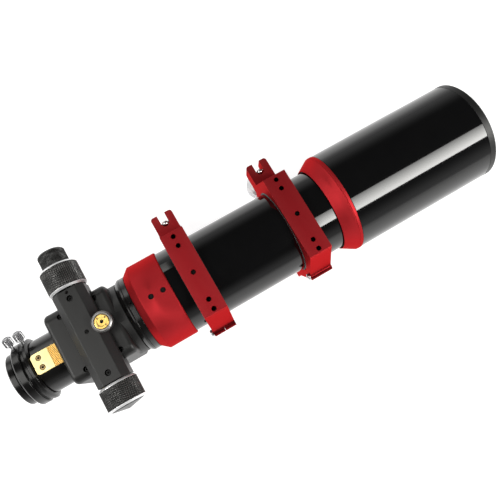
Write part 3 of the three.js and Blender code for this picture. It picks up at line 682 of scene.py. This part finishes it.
# -------- tube rings
FORK_TIP = 80
FORK_TOP = 7
FORK_UNDER = -14
SLOT_HALF = 4.45
SLOT_END = 65.2
FORK_CUT = (-22, 14)
SPLIT = 0.15
RING_BORE = 46.6
RING_CORNER = 3.2
RING_HOLE_DEPTH = 9
HOLE_YS = (-40.2, -30, 0, 30, 40.2)
HINGE_AT = (0, HINGE_Y, 0)
HINGE_GAP = 0.2
PIVOT_AT = (0, BOLT_Y, BOLT_Z)


def fork_slot(xc):
    """Cutter for the U-shaped mouth that the swing bolt drops into."""
    outline = [(xc + SLOT_HALF, FORK_TIP + 6), (xc - SLOT_HALF, FORK_TIP + 6)]
    outline += arc(SLOT_HALF, PI, 2 * PI, 16, xc, SLOT_END + SLOT_HALF)
    return prism("tool", outline, "red", "Z", *FORK_CUT, 0)


def tip_rounding(xc, side):
    """Cutter that rounds one outer corner of the fork in plan."""
    x_edge = xc + side * (RING_HALF_WIDTH + 1)
    x_mid = xc + side * (RING_HALF_WIDTH - RING_CORNER)
    y_mid = FORK_TIP - RING_CORNER
    curve = arc(RING_CORNER, 0 if side > 0 else PI, PI / 2, 8, x_mid, y_mid)
    outline = [(x_edge, y_mid), (x_edge, FORK_TIP + 1), (x_mid, FORK_TIP + 1)] + curve[::-1]
    return prism("tool", outline, "red", "Z", *FORK_CUT, 0)


# Hinge barrel, and the cutter for its recess, in the dark red that is painted shade.
def knuckle(x0, x1, r):
    return rod("red_painted_shade", "X", HINGE_AT, r, x0, x1, 48)


def upper_outline():
    """Upper half seen along the tube, from the bore round the hinge, the top and the fork."""
    start = asin(SPLIT / RING_BORE)
    return arc(RING_BORE, start, PI - start, 72) + [
        (-54.0, SPLIT), (-57.2, SPLIT), (-53.4, 14.4), (-48, 35), (-45.25, 46.8), (-44.65, 46.95),
        (-45.15, 47.3), (-44.4, RING_TOP), (45.3, RING_TOP),
        (57, FORK_TOP), (FORK_TIP, FORK_TOP), (FORK_TIP, SPLIT),
    ]


def lower_outline():
    """Lower half, whose fork is rounded so that the bolt can swing past it."""
    start = asin(SPLIT / RING_BORE)
    reach = BOLT_Z - FORK_UNDER
    swing = [asin((FORK_TIP - BOLT_Y) / reach) * i / 6 for i in range(6, -1, -1)]
    return arc(RING_BORE, PI + start, 2 * PI - start, 72) + [
        (FORK_TIP, -SPLIT), *[(BOLT_Y + reach * sin(t), BOLT_Z - reach * cos(t)) for t in swing],
        (57, FORK_UNDER), (45, -48), (45, RING_FOOT),
        (-45, RING_FOOT), (-45, -48), (-57.2, -9), (-57.2, -SPLIT),
    ]


def drill_ring(upper, lower, xc):
    """Threaded holes in the top and the foot; those in the top stop short of the bore."""
    for y in HOLE_YS:
        metal = RING_TOP - sqrt(RING_BORE ** 2 - y ** 2)
        depth = min(RING_HOLE_DEPTH, metal - 1.2)
        ends = ((upper, RING_TOP - depth, RING_TOP), (lower, RING_FOOT + RING_HOLE_DEPTH, RING_FOOT))
        for half, floor, face in ends:
            tool = hole("Z", (xc, y, 0), 2.3, floor, face, pitch=1.0)
            # The mouth keeps the red; the dark walls below it are painted shade.
            paint(tool, "red", lambda x, y, z: abs(z) > abs(face) - 0.4)
            cut(half, tool)


def make_ring(name):
    xc = RINGS[name]
    x0, x1 = xc - RING_HALF_WIDTH, xc + RING_HALF_WIDTH
    upper = prism(f"{name}_upper_shell", upper_outline(), "red", "X", x0, x1, 0.5)
    lower = prism(f"{name}_lower_shell", lower_outline(), "red", "X", x0, x1, 0.5)
    for half, own, other in (
        (upper, (xc + HINGE_GAP, x1), (x0 - 1, xc + HINGE_GAP)),
        (lower, (x0, xc - HINGE_GAP), (xc - HINGE_GAP, x1 + 1)),
    ):
        cut(half, knuckle(*other, 5.45))
        join(half, knuckle(*own, 5.0))
        cut(half, knuckle(x0 - 1, x1 + 1, 2.7), fork_slot(xc), tip_rounding(xc, 1), tip_rounding(xc, -1))
    cut(upper, rod("red", "X", PIVOT_AT, 1.8, x0 + 4, x1 - 4, 24))
    drill_ring(upper, lower, xc)
    for part, half in (("upper", upper), ("lower", lower)):
        even_normals(half)
        fit(half, "optical_tube", "red_anodised", f"{name}_{part}_half")

    pin = lathe(f"{name}_hinge_pin_turned", [
        (0, x0 - 3), (2.6, x0 - 3), (3.6, x0 - 2.2), (3.6, x0 - 0.3), (2.4, x0 - 0.3), (2.4, x1), (0, x1),
    ], "steel", "X", HINGE_AT, 40, 0.2)
    cut(pin, hexagon("X", HINGE_AT, 1.6, x0 - 4, x0 - 1.6))
    fit(pin, "optical_tube", "bare_aluminium", f"{name}_hinge_pin")
    make_liners(name, x0, x1)
    make_clamp(name, xc, x0, x1)


def make_liners(name, x0, x1):
    """Felt between the ring and the tube, in two halves with a small gap."""
    outer, inner, gap = 46.3, 45.3, 0.01
    for part, sign in (("upper", 1), ("lower", -1)):
        outline = arc(outer, gap, PI - gap, 64) + arc(inner, PI - gap, gap, 64)
        outline = [(y, sign * z) for y, z in outline]
        liner = prism(f"{name}_liner_{part}_felt", outline, "felt", "X", x0 - 0.5, x1 + 0.5, 0.15, 1)
        fit(liner, "optical_tube", "felt", f"{name}_liner_{part}")


def make_clamp(name, xc, x0, x1):
    """Swing bolt with its ball and pivot, and the knurled knob on its thread."""
    top, end, turns = -16, -51, 22
    shank_r, root_r = 2.9, 2.45
    shank = [(0, BOLT_Z), (shank_r, BOLT_Z - 2), (shank_r, top)]
    for i in range(turns):
        z = top - (top - end - 1) * (i + 0.5) / turns
        shank += [(shank_r, z + 0.4), (root_r, z - 0.3)]
    shank += [(2.6, end + 0.6), (2.0, end), (0, end)]
    bolt = lathe(f"{name}_eye_bolt", shank, "steel", "Z", (xc, BOLT_Y, 0), 32, 0.05)
    half, ball_r, steps = 2.6, 3.1, 10
    ball = [(0, xc - half)]
    for i in range(steps + 1):
        a = half * (2 * i / steps - 1)
        ball.append((sqrt(ball_r ** 2 - a ** 2 * 0.8), xc + a))
    join(bolt, lathe("tool", ball + [(0, xc + half)], "steel", "X", PIVOT_AT, 40, 0))
    join(bolt, rod("steel", "X", PIVOT_AT, 1.5, x0 + 4.4, x1 - 4.4, 24))
    fit(bolt, name.replace("ring", "swing_bolt"), "stainless", f"{name}_swing_bolt")

    z0, z1 = span(f"{name}_clamp_knob", 2)
    r = radius(f"{name}_clamp_knob", 0)
    grip = (z0 + 2.4, z0 + 13.2)
    bore, neck, flare = 3.3, 7.3, 7.6
    profile = [(bore, z1), (7.1, z1), (7.5, z1 - 0.5), (neck, z1 - 8)]
    profile += arc(flare, PI, PI * 1.5, 8, neck + flare, z1 - 13.6)[1:-3]
    profile += [(r - 1.0, z0 + 15), (r, z0 + 14.2)] + band(r, grip[1], grip[0], 30)
    profile += [(r, z0 + 1.2), (r - 1.2, z0), (5.2, z0), (4.4, z0 + 0.8), (bore, z0 + 0.8)]
    relief = diamond_knurl(r, *grip, 60, 1.5, 0.45)
    knob = lathe(f"{name}_clamp_grip", profile, "silver", "Z", (xc, BOLT_Y, 0), 240, 0.2, relief)
    fit(knob, name.replace("ring", "clamp_knob"), "bare_aluminium", f"{name}_clamp_knob")


# -------- focuser
PINION_AT = (KNOB_X, 0, KNOB_Z)
PINION_BORE = 3.1
PINION_POCKET = 8
RACK_WAY = (-10.7, 10.7)
LOCK_AT = (-95, 0, 0)
LOCK_BORE = 4.5
HOUSING_SCREW_YS = (35.8, -42.8)


def socket_screw(name, look, at, r, low, top, body, slot, *nodes):
    """A cap screw whose head ends at top, with a hexagon socket."""
    head = [(0, low), (r, low), (r, top - 0.35), (r - 0.35, top), (0, top)]
    screw = lathe(name, head, look, "Z", at, 32, 0.1)
    cut(screw, hexagon("Z", at, r * 0.55, top - 1.4, top + 1))
    return fit(screw, body, slot, *nodes)


def rounded_rectangle(half_u, half_v, r, steps=10):
    corners = [(1, 1, 0), (-1, 1, PI / 2), (-1, -1, PI), (1, -1, PI * 1.5)]
    out = []
    for su, sv, turn in corners:
        out += arc(r, turn, turn + PI / 2, steps, su * (half_u - r), sv * (half_v - r))
    return out


def make_focuser_body():
    x0, x1 = span("focuser_body", 0)
    r = radius("focuser_body")
    front = -82
    body = prism("focuser_housing", rounded_rectangle(37, 38, 9), "black", "X", x0, front, 0)
    soften(body, 4.5, 6, 60)
    nose = [(0, front - 4), (r, front - 4), (r, x1 - 0.6), (r - 0.6, x1), (0, x1)]
    join(body, lathe("tool", nose, "black", sides=128, edge=0))
    bore = DRAW_R + 0.3
    through = (x0 - 1, x1 + 1)
    cut(body, rod("black", "X", CENTRE, bore, *through, 128))
    cut(body, slab("X", RACK_WAY, (20, 32.4), through))
    cut(body, slab("Y", (KNOB_X - PINION_POCKET, KNOB_X + PINION_POCKET), (30, 40), RACK_WAY))
    groove = arc(PINION_BORE, PI, 2 * PI, 10, KNOB_X, KNOB_Z)
    groove += [(KNOB_X + PINION_BORE, 40), (KNOB_X - PINION_BORE, 40)]
    cut(body, prism("tool", groove, "black", "Y", -45, 45, 0))
    cut(body, rod("flat_black_and_painted_shade", "Z", LOCK_AT, LOCK_BORE, 30, 40, 32))
    for x in (x0 + 12, front - 8):
        cut(body, slab("Y", (x - 5.3, x + 5.3), (-32, -25), (-4.3, 4.3)))
    spots = [(x, y, 0) for x in (-131.5, -95.5) for y in (-28.4, 28.4)]
    for spot in spots:
        cut(body, hole("Z", spot, 2.55, 33, 38))
    rear_chamfer = [(bore + 1.2, x0 - 0.5), (bore - 1, x0 - 0.5), (bore - 1, x0 + 1.4)]
    cut(body, lathe("tool", rear_chamfer, "black", "X", sides=128, edge=0))
    even_normals(body)
    fit(body, "focuser", "black_satin", "focuser_body")
    for i, spot in enumerate(spots):
        socket_screw(f"body_screw_{i + 1}", "dark_steel", spot, 2.3, 33.2, 35.4, "focuser", "stainless")
    for i in (1, 2):
        node = f"drawtube_glide_{i}"
        outline = oblong(*span(node, 0), *span(node, 2))
        fit(prism(f"{node}_pad", outline, "nylon", "Y", *span(node, 1), 0.3), "focuser", "nylon", node)


def make_pinion_housing():
    y0, y1 = span("pinion_housing", 1)
    top = span("pinion_housing", 2)[1]
    half = radius("pinion_housing", 0)
    low, shoulder, flat = 26.3, 45, 9.5
    x = KNOB_X
    outline = [
        (x - half, low), (x + half, low), (x + half, shoulder),
        (x + flat, top), (x - flat, top), (x - half, shoulder),
    ]
    block = prism("pinion_block", outline, "black", "Y", y0, y1, 0.5)
    cut(block, slab("X", (-37.3, 37.3), (0, 38.3), (x - 40, x + 40)))
    seat_r, seat = 6.3, 5.3
    cut(block, *[rod("black", "Y", PINION_AT, r, a0, a1, 48) for r, a0, a1 in (
        (PINION_BORE, y0 - 1, y1 + 1), (PINION_POCKET, -10.5, 10.5),
        (seat_r, y0 - 1, y0 + seat), (seat_r, y1 - seat, y1 + 1),
    )])
    cut(block, rod("flat_black_and_painted_shade", "Z", LOCK_AT, LOCK_BORE, 30, top + 1, 40))
    cut(block, hole("Z", (x, 0, 0), 1.75, top - 4, top, chamfer=0.3, sides=24))
    cut(block, hole("Z", (x, 42.2, 0), 1.3, top - 1.6, top, chamfer=0.3, sides=20))
    for y in HOUSING_SCREW_YS:
        cut(block, hole("Z", (x, y, 0), 2.65, top - 3.6, top, chamfer=0.35))
    even_normals(block)
    fit(block, "focuser", "black_satin", "pinion_housing")
    hung = ("focuser", "stainless")
    for i, y in enumerate(HOUSING_SCREW_YS):
        socket_screw(f"housing_screw_{i + 1}", "dark_steel", (x, y, 0), 2.4, top - 3.5, top - 2.0, *hung)
    screw_z = (top - 3.7, top - 0.5)
    socket_screw("tension_set_screw", "dark_steel", (x, 0, 0), 1.6, *screw_z, *hung, "tension_screw")
    for side in ("left", "right"):
        node = f"pinion_bearing_{side}"
        race = oblong(PINION_BORE, 6, *span(node, 1))
        fit(lathe(f"{node}_race", race, "steel", "Y", PINION_AT, 48, 0.3), *hung, node)


def make_drive():
    shaft = lathe("pinion_axle", oblong(0, 2.8, *span("pinion_shaft", 1)), "steel", "Y", PINION_AT, 40, 0.4)
    fit(shaft, "coarse_focus", "stainless", "pinion_shaft")
    ball_r, steps = 2.55, 12
    for i in (1, 2, 3):
        node = f"reduction_ball_{i}"
        x, y, z = (sum(span(node, axis)) / 2 for axis in range(3))
        angles = [PI * k / steps for k in range(1, steps)]
        profile = [(0, y - ball_r)]
        profile += [(ball_r * sin(t), y - ball_r * cos(t)) for t in angles]
        profile += [(0, y + ball_r)]
        ball = lathe(f"{node}_steel", profile, "steel", "Y", (x, 0, z), 24, 0)
        fit(ball, "coarse_focus", "stainless", node)


def knob_reach(x, z):
    """Distance in mm from the axis of the pinion and its knobs."""
    return hypot(x - KNOB_X, z - KNOB_Z)


def coarse_knob(name, node, y_in, y_out, hollow):
    """Knurled black grip with a bright chamfer at each end; y_in is the end next to the focuser."""
    r = radius(node, 0)
    lip, land, depth, count = 1.9, 2.5, 0.75, 54
    side = 1 if y_out > y_in else -1
    ends = (y_in + side * land, y_out - side * land)
    rim = [(r - lip, 0.15), (r - 0.1, lip), (r - 0.1, 2.25)]
    profile = [(PINION_BORE, y_in), (r - lip - 1.2, y_in)]
    profile += [(reach, y_in + side * a) for reach, a in rim] + band(r, *ends, 76)
    profile += [(reach, y_out - side * a) for reach, a in rim[::-1]]
    pitch = 2 * PI * r / count
    relief = diamond_knurl(r, min(ends) - 0.01, max(ends) + 0.01, count, pitch, depth)
    knob = lathe(name, profile + hollow, "black_knob", "Y", PINION_AT, count * 6, 0.0, relief)
    low, high = sorted((y_in, y_out))

    def on_rim(x, y, z):
        return knob_reach(x, z) > r - lip - 0.1 and (y < low + 2.2 or y > high - 2.2)

    # Knurl tips, painted lighter as a highlight.
    def on_tip_painted_highlight(x, y, z):
        return low + land < y < high - land and knob_reach(x, z) > r - 0.2

    paint(knob, "knurl_painted_highlight", on_tip_painted_highlight)
    paint(knob, "rim", on_rim)
    return fit(knob, "coarse_focus", "black_satin", node)


def make_knobs():
    y0, y1 = span("coarse_knob_left", 1)
    r = radius("coarse_knob_left", 0)
    floor = y0 + 3.5
    dish = [(r - 3.0, y0), (r - 4, y0 + 0.6), (r - 4, floor), (PINION_BORE, floor)]
    coarse_knob("coarse_knob_left_grip", "coarse_knob_left", y1, y0, dish)
    tip = span("coarse_knob_cap", 1)[0]
    cap_r, inner_face = r - 4.4, y0 + 3.1
    cap = lathe("coarse_knob_end_cap", [
        (0, tip), (1.2, tip + 0.12), (r - 3.6, y0 - 0.5), (r - 3.4, y0 - 0.3),
        (cap_r, y0 - 0.1), (cap_r, inner_face), (0, inner_face),
    ], "black_knob", "Y", PINION_AT, 128, 0.15)
    fit(cap, "coarse_focus", "black_satin", "coarse_knob_cap")

    y0, y1 = span("coarse_knob_right", 1)
    throat, cup, web = 2.9, 9.2, y0 + 7
    hollow = [(r - 3.2, y1), (throat, y1), (throat, y1 - 4), (cup, y1 - 4), (cup, web), (PINION_BORE, web)]
    coarse_knob("coarse_knob_right_grip", "coarse_knob_right", y0, y1, hollow)
    make_fine_knob(y1 + 0.3)


def make_fine_knob(y0):
    """Fine knob on its own thin shaft; y0 is the face next to the coarse knob."""
    shaft_end, y1 = span("fine_focus_knob", 1)
    shaft_r = 2.6
    r = radius("fine_focus_knob", 0)
    grip = (y0 + 1.4, y1 - 2.6)
    profile = [(0, shaft_end), (shaft_r, shaft_end), (shaft_r, y0), (r - 0.5, y0), (r, y0 + 0.7)]
    profile += band(r, *grip, 44)
    profile += [(r, y1 - 2.2), (r - 0.5, y1 - 0.9), (r - 1.6, y1)]
    profile += [(r - 3.2, y1 - 0.05), (r - 3.8, y1 - 0.5), (0, y1 - 0.5)]
    relief = diamond_knurl(r, grip[0] - 0.01, grip[1] + 0.01, 48, 1.78, 0.5)
    knob = lathe("fine_focus_grip", profile, "black_knob", "Y", PINION_AT, 288, 0, relief)
    # Knurl tips painted lighter, as a highlight.
    paint(knob, "fine_knurl_painted_highlight", lambda x, y, z: grip[0] < y < grip[1] and knob_reach(x, z) > r - 0.13)
    fit(knob, "fine_focus", "black_satin", "fine_focus_knob")


def make_lock_knob():
    x, y = (sum(span("focus_lock_knob", axis)) / 2 for axis in (0, 1))
    at = (x, y, 0)
    z0, z1 = span("focus_lock_knob", 2)
    r = radius("focus_lock_knob", 0)
    seat, stem, under = 7.2, 4.2, 52.6
    profile = [(0, z0), (stem - 0.3, z0), (stem, z0 + 0.4), (stem, under), (r - 0.6, under), (r, under + 0.6)]
    profile += [(r, z1 - 1.5), (r - 0.5, z1 - 0.7), (r - 1.6, z1), (seat + 0.3, z1)]
    profile += [(seat, z1 - 0.4), (seat, z1 - 1.5), (0, z1 - 1.5)]
    knob = lathe("focus_lock_grip", profile, "lock", "Z", at, 240, 0, straight_knurl(r, 48, 0.45))
    fit(knob, "focus_lock", "bare_aluminium", "focus_lock_knob")
    top = z1 - 0.45
    disc = [(0, z1 - 1.2), (seat - 0.3, z1 - 1.2), (seat - 0.3, top - 0.2), (seat - 0.8, top)]
    disc += [(4.4, top), (4.1, top - 0.3), (0, top - 0.3)]
    insert = lathe("focus_lock_insert", disc, "gold", "Z", at, 96, 0.05)
    cut(insert, hexagon("Z", at, 1.9, z1 - 1.0, z1 + 1))
    for i in range(4):
        turn = i * PI / 2 + 0.5
        spot = (x + 5.0 * cos(turn), y + 5.0 * sin(turn), 0)
        # Spanner holes walled in darker bronze: painted shade.
        cut(insert, hole("Z", spot, 0.75, top - 0.4, top, "bronze_and_painted_hole_shade", 0.2, sides=16))
    fit(insert, "focus_lock", "brass", "lock_knob_insert")
    pad = oblong(0, 3.8, *span("lock_pad", 2))
    fit(lathe("lock_pad_plug", pad, "nylon", "Z", at, 40, 0.3), "focuser", "nylon", "lock_pad")


# -------- drawtube and rear end
THUMB_TILT = radians(33)
EYEPIECE_SCREW_X = -189.6
ROTATION_SCREW_X = -178.4


def make_drawtube():
    x0, x1 = span("drawtube", 0)
    tube = lathe("drawtube_barrel", oblong(BORE_R, DRAW_R, x0, x1), "black_turned", sides=160)
    cut(tube, slab("X", (-12, 12), (27.2, 40), (x0 - 1, x1 + 1)))
    paint(tube, "flat_black_and_painted_shade", within(BORE_R + 0.5))
    fit(tube, "drawtube", "black_satin", "drawtube")

    x0, x1 = span("drawtube_flange", 0)
    r = radius("drawtube_flange")
    flange = lathe("drawtube_end_flange", [
        (BORE_R, x0), (r - 0.8, x0), (r, x0 + 0.8), (r, x1 - 1.6), (r - 2.6, x1), (BORE_R, x1),
    ], "black_turned", sides=160)
    thumbscrew_hole(flange, ROTATION_SCREW_X, 22)
    paint(flange, "flat_black_and_painted_shade", within(BORE_R + 0.5))
    fit(flange, "drawtube", "black_satin", "drawtube_flange")
    make_rack()


def tilted(piece, x):
    """Turns a piece built along Z so that it points out of the barrel at the thumbscrews' angle."""
    return turned_about_axis(piece, THUMB_TILT - PI / 2, x)


def thumbscrew_hole(piece, x, start):
    cut(piece, tilted(rod("black", "Z", CENTRE, 2.0, start, 50, 24), x))


def thumbscrew(kind, x, inner):
    neck, end, r = 37.4, 46.2, 4.7
    shaft_r, waist = 1.7, 2.6
    profile = [(0, inner), (shaft_r, inner), (shaft_r, neck - 1.6), (waist, neck - 1.2), (waist, neck - 0.2)]
    profile += [(r - 0.5, neck), (r, neck + 0.7), (r, end - 1.5), (r - 0.5, end - 0.7), (r - 1.4, end)]
    profile += [(waist, end), (waist - 0.4, end - 0.35), (0, end - 0.35)]
    relief = straight_knurl(r, 18, 0.8)
    screw = lathe(f"{kind}_thumbscrew_head", profile, "thumb", "Z", CENTRE, 144, 0, relief)
    fit(tilted(screw, x), f"{kind}_thumbscrew", "bare_aluminium", f"thumbscrew_{kind}")


TOOTH_MODULE = 0.5
PITCH = PI * TOOTH_MODULE
PITCH_R = 6
PITCH_LINE = KNOB_Z - PITCH_R
SLANT = -tan(radians(18))
RACK_SCREW_X = -168
RACK_SCREW_YS = (4.9, -4.9)


def make_rack():
    """Brass rack with slanting teeth and a plain pad that two screws hold down."""
    x0, x1 = span("focus_rack", 0)
    half = radius("focus_rack", 1)
    bottom = span("focus_rack", 2)[0]
    tip, root = PITCH_LINE + 0.9 * TOOTH_MODULE, PITCH_LINE - 1.1 * TOOTH_MODULE
    corner = 3.2
    pad_end = -157
    pad = [(pad_end, half), (pad_end, -half)]
    pad += arc(corner, PI * 1.5, PI, 6, x0 + corner, -half + corner)
    pad += arc(corner, PI, PI / 2, 6, x0 + corner, half - corner)
    rack = prism("focus_rack_pad", pad, "brass", "Z", bottom, tip, 0.2)
    for y in RACK_SCREW_YS:
        # Bronze hole walls round the screws: painted shade.
        cut(rack, hole("Z", (RACK_SCREW_X, y, 0), 2.6, bottom - 1, tip, "bronze_and_painted_hole_shade", 0.3))
    even_normals(rack)
    fit(rack, "drawtube", "brass")

    reach = half * abs(SLANT)
    ahead = int((x1 + reach - KNOB_X) / PITCH) + 1
    back = int((KNOB_X - pad_end + reach) / PITCH) + 1
    wide, narrow = 0.55, 0.22
    low, high = KNOB_X - (back + 1) * PITCH, KNOB_X + (ahead + 1) * PITCH
    outline = [(low, bottom), (high, bottom), (high, root)]
    for i in range(ahead, -back - 1, -1):
        x = KNOB_X + (i - 0.5) * PITCH
        outline += [(x + wide, root), (x + narrow, tip), (x - narrow, tip), (x - wide, root)]
    teeth = prism("focus_rack_teeth", outline + [(low, root)], "brass_teeth", "Y", -half, half, 0)
    for vertex in teeth.data.vertices:
        vertex.co.x += (vertex.co.y - ORIGIN.y) * SLANT
    for a0, a1 in ((low - 20, pad_end + 0.02), (x1, high + 20)):
        cut(teeth, slab("Z", (a0, a1), (-half - 1, half + 1), (bottom - 1, tip + 1), "brass"))
    soften(teeth, 0.05, 1)
    even_normals(teeth)
    fit(teeth, "drawtube", "brass", "focus_rack")
    low, top = bottom + 0.1, tip - 0.15
    for i, y in enumerate(RACK_SCREW_YS, 1):
        at, node = (RACK_SCREW_X, y, 0), f"rack_screw_{i}"
        socket_screw(f"rack_cap_screw_{i}", "bronze_and_painted_hole_shade", at, 2.35, low, top, "drawtube", "brass", node)


def make_pinion_gear():
    """Pinion whose teeth slant to match the rack."""
    y0, y1 = span("pinion_gear", 1)
    teeth, rows = round(2 * PITCH_R / TOOTH_MODULE), 14
    flank = [(5.4, 0.115), (5.75, 0.085), (6.0, 0.063), (6.25, 0.042), (6.42, 0.026)]
    ring = []
    for i in range(teeth):
        centre = -PI / 2 + i * 2 * PI / teeth
        ring += [(r, centre - half) for r, half in flank] + [(r, centre + half) for r, half in flank[::-1]]
    verts, faces = [], []
    count = len(ring)
    for k in range(rows + 1):
        y = y0 + (y1 - y0) * k / rows
        twist = y * SLANT / PITCH_R
        for r, angle in ring + [(PINION_BORE, angle) for _, angle in ring]:
            verts.append((KNOB_X + r * cos(angle + twist), y, KNOB_Z + r * sin(angle + twist)))
    stride = 2 * count
    for i in range(count):
        j = (i + 1) % count
        for k in range(rows):
            a, b = k * stride, (k + 1) * stride
            faces.append([a + i, a + j, b + j, b + i])
            faces.append([a + count + i, b + count + i, b + count + j, a + count + j])
        for base in (0, rows * stride):
            faces.append([base + i, base + j, base + count + j, base + count + i])
    fit(build("pinion_gear_teeth", verts, faces, "brass_teeth"), "coarse_focus", "brass", "pinion_gear")


def make_visual_back():
    """Eyepiece holder: a lip, a wider grip and a groove inside for the compression ring."""
    x0, x1 = span("visual_back", 0)
    r = radius("visual_back")
    lip_r, bore, socket = 27.6, 25.55, 30
    lip, ring = -193.5, -184.6
    groove_r, groove = 27.5, (-192.3, -186.7)
    back = lathe("visual_back_barrel", [
        (bore + 0.5, x0), (lip_r - 0.9, x0), (lip_r, x0 + 0.9), (lip_r, lip - 2.2), (lip_r - 0.8, lip - 1.8),
        (lip_r - 0.8, lip - 0.6), (r - 1.4, lip + 0.4), (r, lip + 1.9), (r, ring - 0.7), (r - 0.7, ring),
        (socket, ring), (socket, x1), (bore, x1), (bore, groove[1]), (groove_r, groove[1]),
        (groove_r, groove[0]), (bore, groove[0]), (bore, x0 + 0.5),
    ], "black_turned", sides=160, edge=0.2)
    thumbscrew_hole(back, EYEPIECE_SCREW_X, 26.9)
    paint(back, "flat_black_and_painted_shade", lambda x, y, z: x > x0 + 1 and hypot(y, z) < 25.9)
    paint(back, "flat_black_and_painted_shade", lambda x, y, z: groove[0] - 0.1 < x < groove[1] + 0.1 and hypot(y, z) < 28)
    fit(back, "visual_back", "black_satin", "visual_back")

    x0, x1 = span("compression_ring", 0)
    ring = lathe("compression_ring_brass", oblong(25.7, 27.2, x0, x1), "brass", sides=160)
    cut(ring, slab("X", (-1.2, 1.2), (-40, 0), (x0 - 1, x1 + 1), "brass"))
    fit(ring, "visual_back", "brass", "compression_ring")
    thumbscrew("eyepiece", EYEPIECE_SCREW_X, 27.6)
    thumbscrew("rotation", ROTATION_SCREW_X, 26.2)


# -------- stage, lights and camera
FLOOR_Z = ORIGIN.z + RING_FOOT * MM
CAMERA_AT = (-2.48, -99.13, 561.06)
CAMERA_TARGET = (63.52, 0.30, 0.0)
CAMERA_ROLL = -30.71
CAMERA_LENS = 39.05
FLOOR_GLOW = 0.9
HORIZON_GLOW = 0.5
WORLD_LIGHT = 0.05
FLOOR_SIZE = 12
GLOW_FADE = (0.28, 0.85)


def aimed(right, up, back, at):
    """World matrix of a lamp or camera that looks away from back."""
    return Matrix.Translation(at) @ Matrix((right, up, back)).transposed().to_4x4()


def make_floor():
    """White ground whose glow fades with distance."""
    mesh = bpy.data.meshes.new("studio_floor")
    z = FLOOR_Z - 0.0002
    corners = [(x, y, z) for x, y in oblong(-FLOOR_SIZE, FLOOR_SIZE, -FLOOR_SIZE, FLOOR_SIZE)]
    mesh.from_pydata(corners, [], [(0, 1, 2, 3)])
    floor = place("studio_floor", mesh)
    n = Nodes("pale_floor")
    n.wire(Base_Color=n.between(n.noise(3), (0.38, 0.38, 0.38), (0.42, 0.42, 0.42)))
    n.set(Roughness=0.85, Specular_IOR_Level=0.1, Emission_Color=(1, 1, 1, 1))
    distance = n.add("ShaderNodeVectorMath", operation="LENGTH")
    n.link(n.coords, distance.inputs[0])
    glow = map_range(n.tree, distance.outputs["Value"], GLOW_FADE, (FLOOR_GLOW, HORIZON_GLOW), smooth=True)
    n.wire(Emission_Strength=glow)
    mesh.materials.append(n.material)


def softbox(name, along, angle, distance, size, power, fade=1.0):
    """A rectangular light at an angle from straight up towards +Y; fade dims its upper edge."""
    data = bpy.data.lights.new(name, "AREA")
    data.shape = "RECTANGLE"
    data.size, data.size_y = size
    data.energy = power
    data.color = (1.0, 0.995, 0.965)
    data.use_nodes = True
    tree = data.node_tree
    spot = tree.nodes.new("ShaderNodeNewGeometry")
    split = tree.nodes.new("ShaderNodeSeparateXYZ")
    tree.links.new(spot.outputs["Parametric"], split.inputs["Vector"])
    strength = map_range(tree, split.outputs["Y"], (0.15, 1.0), (1.0, fade))
    tree.links.new(strength, tree.nodes["Emission"].inputs["Strength"])
    light = place(name, data)
    turn = radians(angle)
    away = Vector((0, sin(turn), cos(turn)))
    at = ORIGIN + away * distance + Vector((along, 0, 0))
    across = Vector((1, 0, 0))
    light.matrix_world = aimed(across, away.cross(across), away, at)


def make_lights():
    softbox("key_softbox", 0.815, -34.3, 1.2, (0.79, 0.61), 26, fade=0.25)
    softbox("rear_top", -1.35, 6, 1.1, (0.7, 0.7), 18)
    softbox("rear_strip", -0.36, 65, 1.1, (0.62, 0.5), 2.4, fade=0.3)
    softbox("overhead_fill", -0.62, -4, 1.5, (0.75, 1.1), 6.6)


def make_world():
    """Studio walls: pale at the horizon, dark overhead."""
    world = bpy.data.worlds.new("studio")
    world.use_nodes = True
    tree = world.node_tree
    background = tree.nodes["Background"]
    put(background, Color=(1, 1, 1, 1))
    direction = tree.nodes.new("ShaderNodeTexCoord")
    split = tree.nodes.new("ShaderNodeSeparateXYZ")
    tree.links.new(direction.outputs["Generated"], split.inputs["Vector"])
    strength = map_range(tree, split.outputs["Z"], (0.0, 0.55), (HORIZON_GLOW, WORLD_LIGHT), smooth=True)
    tree.links.new(strength, background.inputs["Strength"])
    bpy.context.scene.world = world


def make_camera():
    data = bpy.data.cameras.new("camera")
    data.lens = CAMERA_LENS
    data.sensor_width = 36
    data.clip_end = 20
    camera = place("camera", data)
    at = ORIGIN + Vector(CAMERA_AT) * MM
    back = (at - (ORIGIN + Vector(CAMERA_TARGET) * MM)).normalized()
    right = Vector((0, 1, 0)).cross(back).normalized()
    roll = Matrix.Rotation(radians(CAMERA_ROLL), 4, "Z")
    camera.matrix_world = aimed(right, back.cross(right), back, at) @ roll
    bpy.context.scene.camera = camera


# -------- build it all
make_camera()
make_tube()
make_objective()
make_dew_shield()
for ring_name in RINGS:
    make_ring(ring_name)
make_focuser_body()
make_pinion_housing()
make_drive()
make_pinion_gear()
make_knobs()
make_lock_knob()
make_drawtube()
make_visual_back()
make_floor()
make_lights()
make_world()
bpy.context.scene.view_settings.view_transform = "Standard"
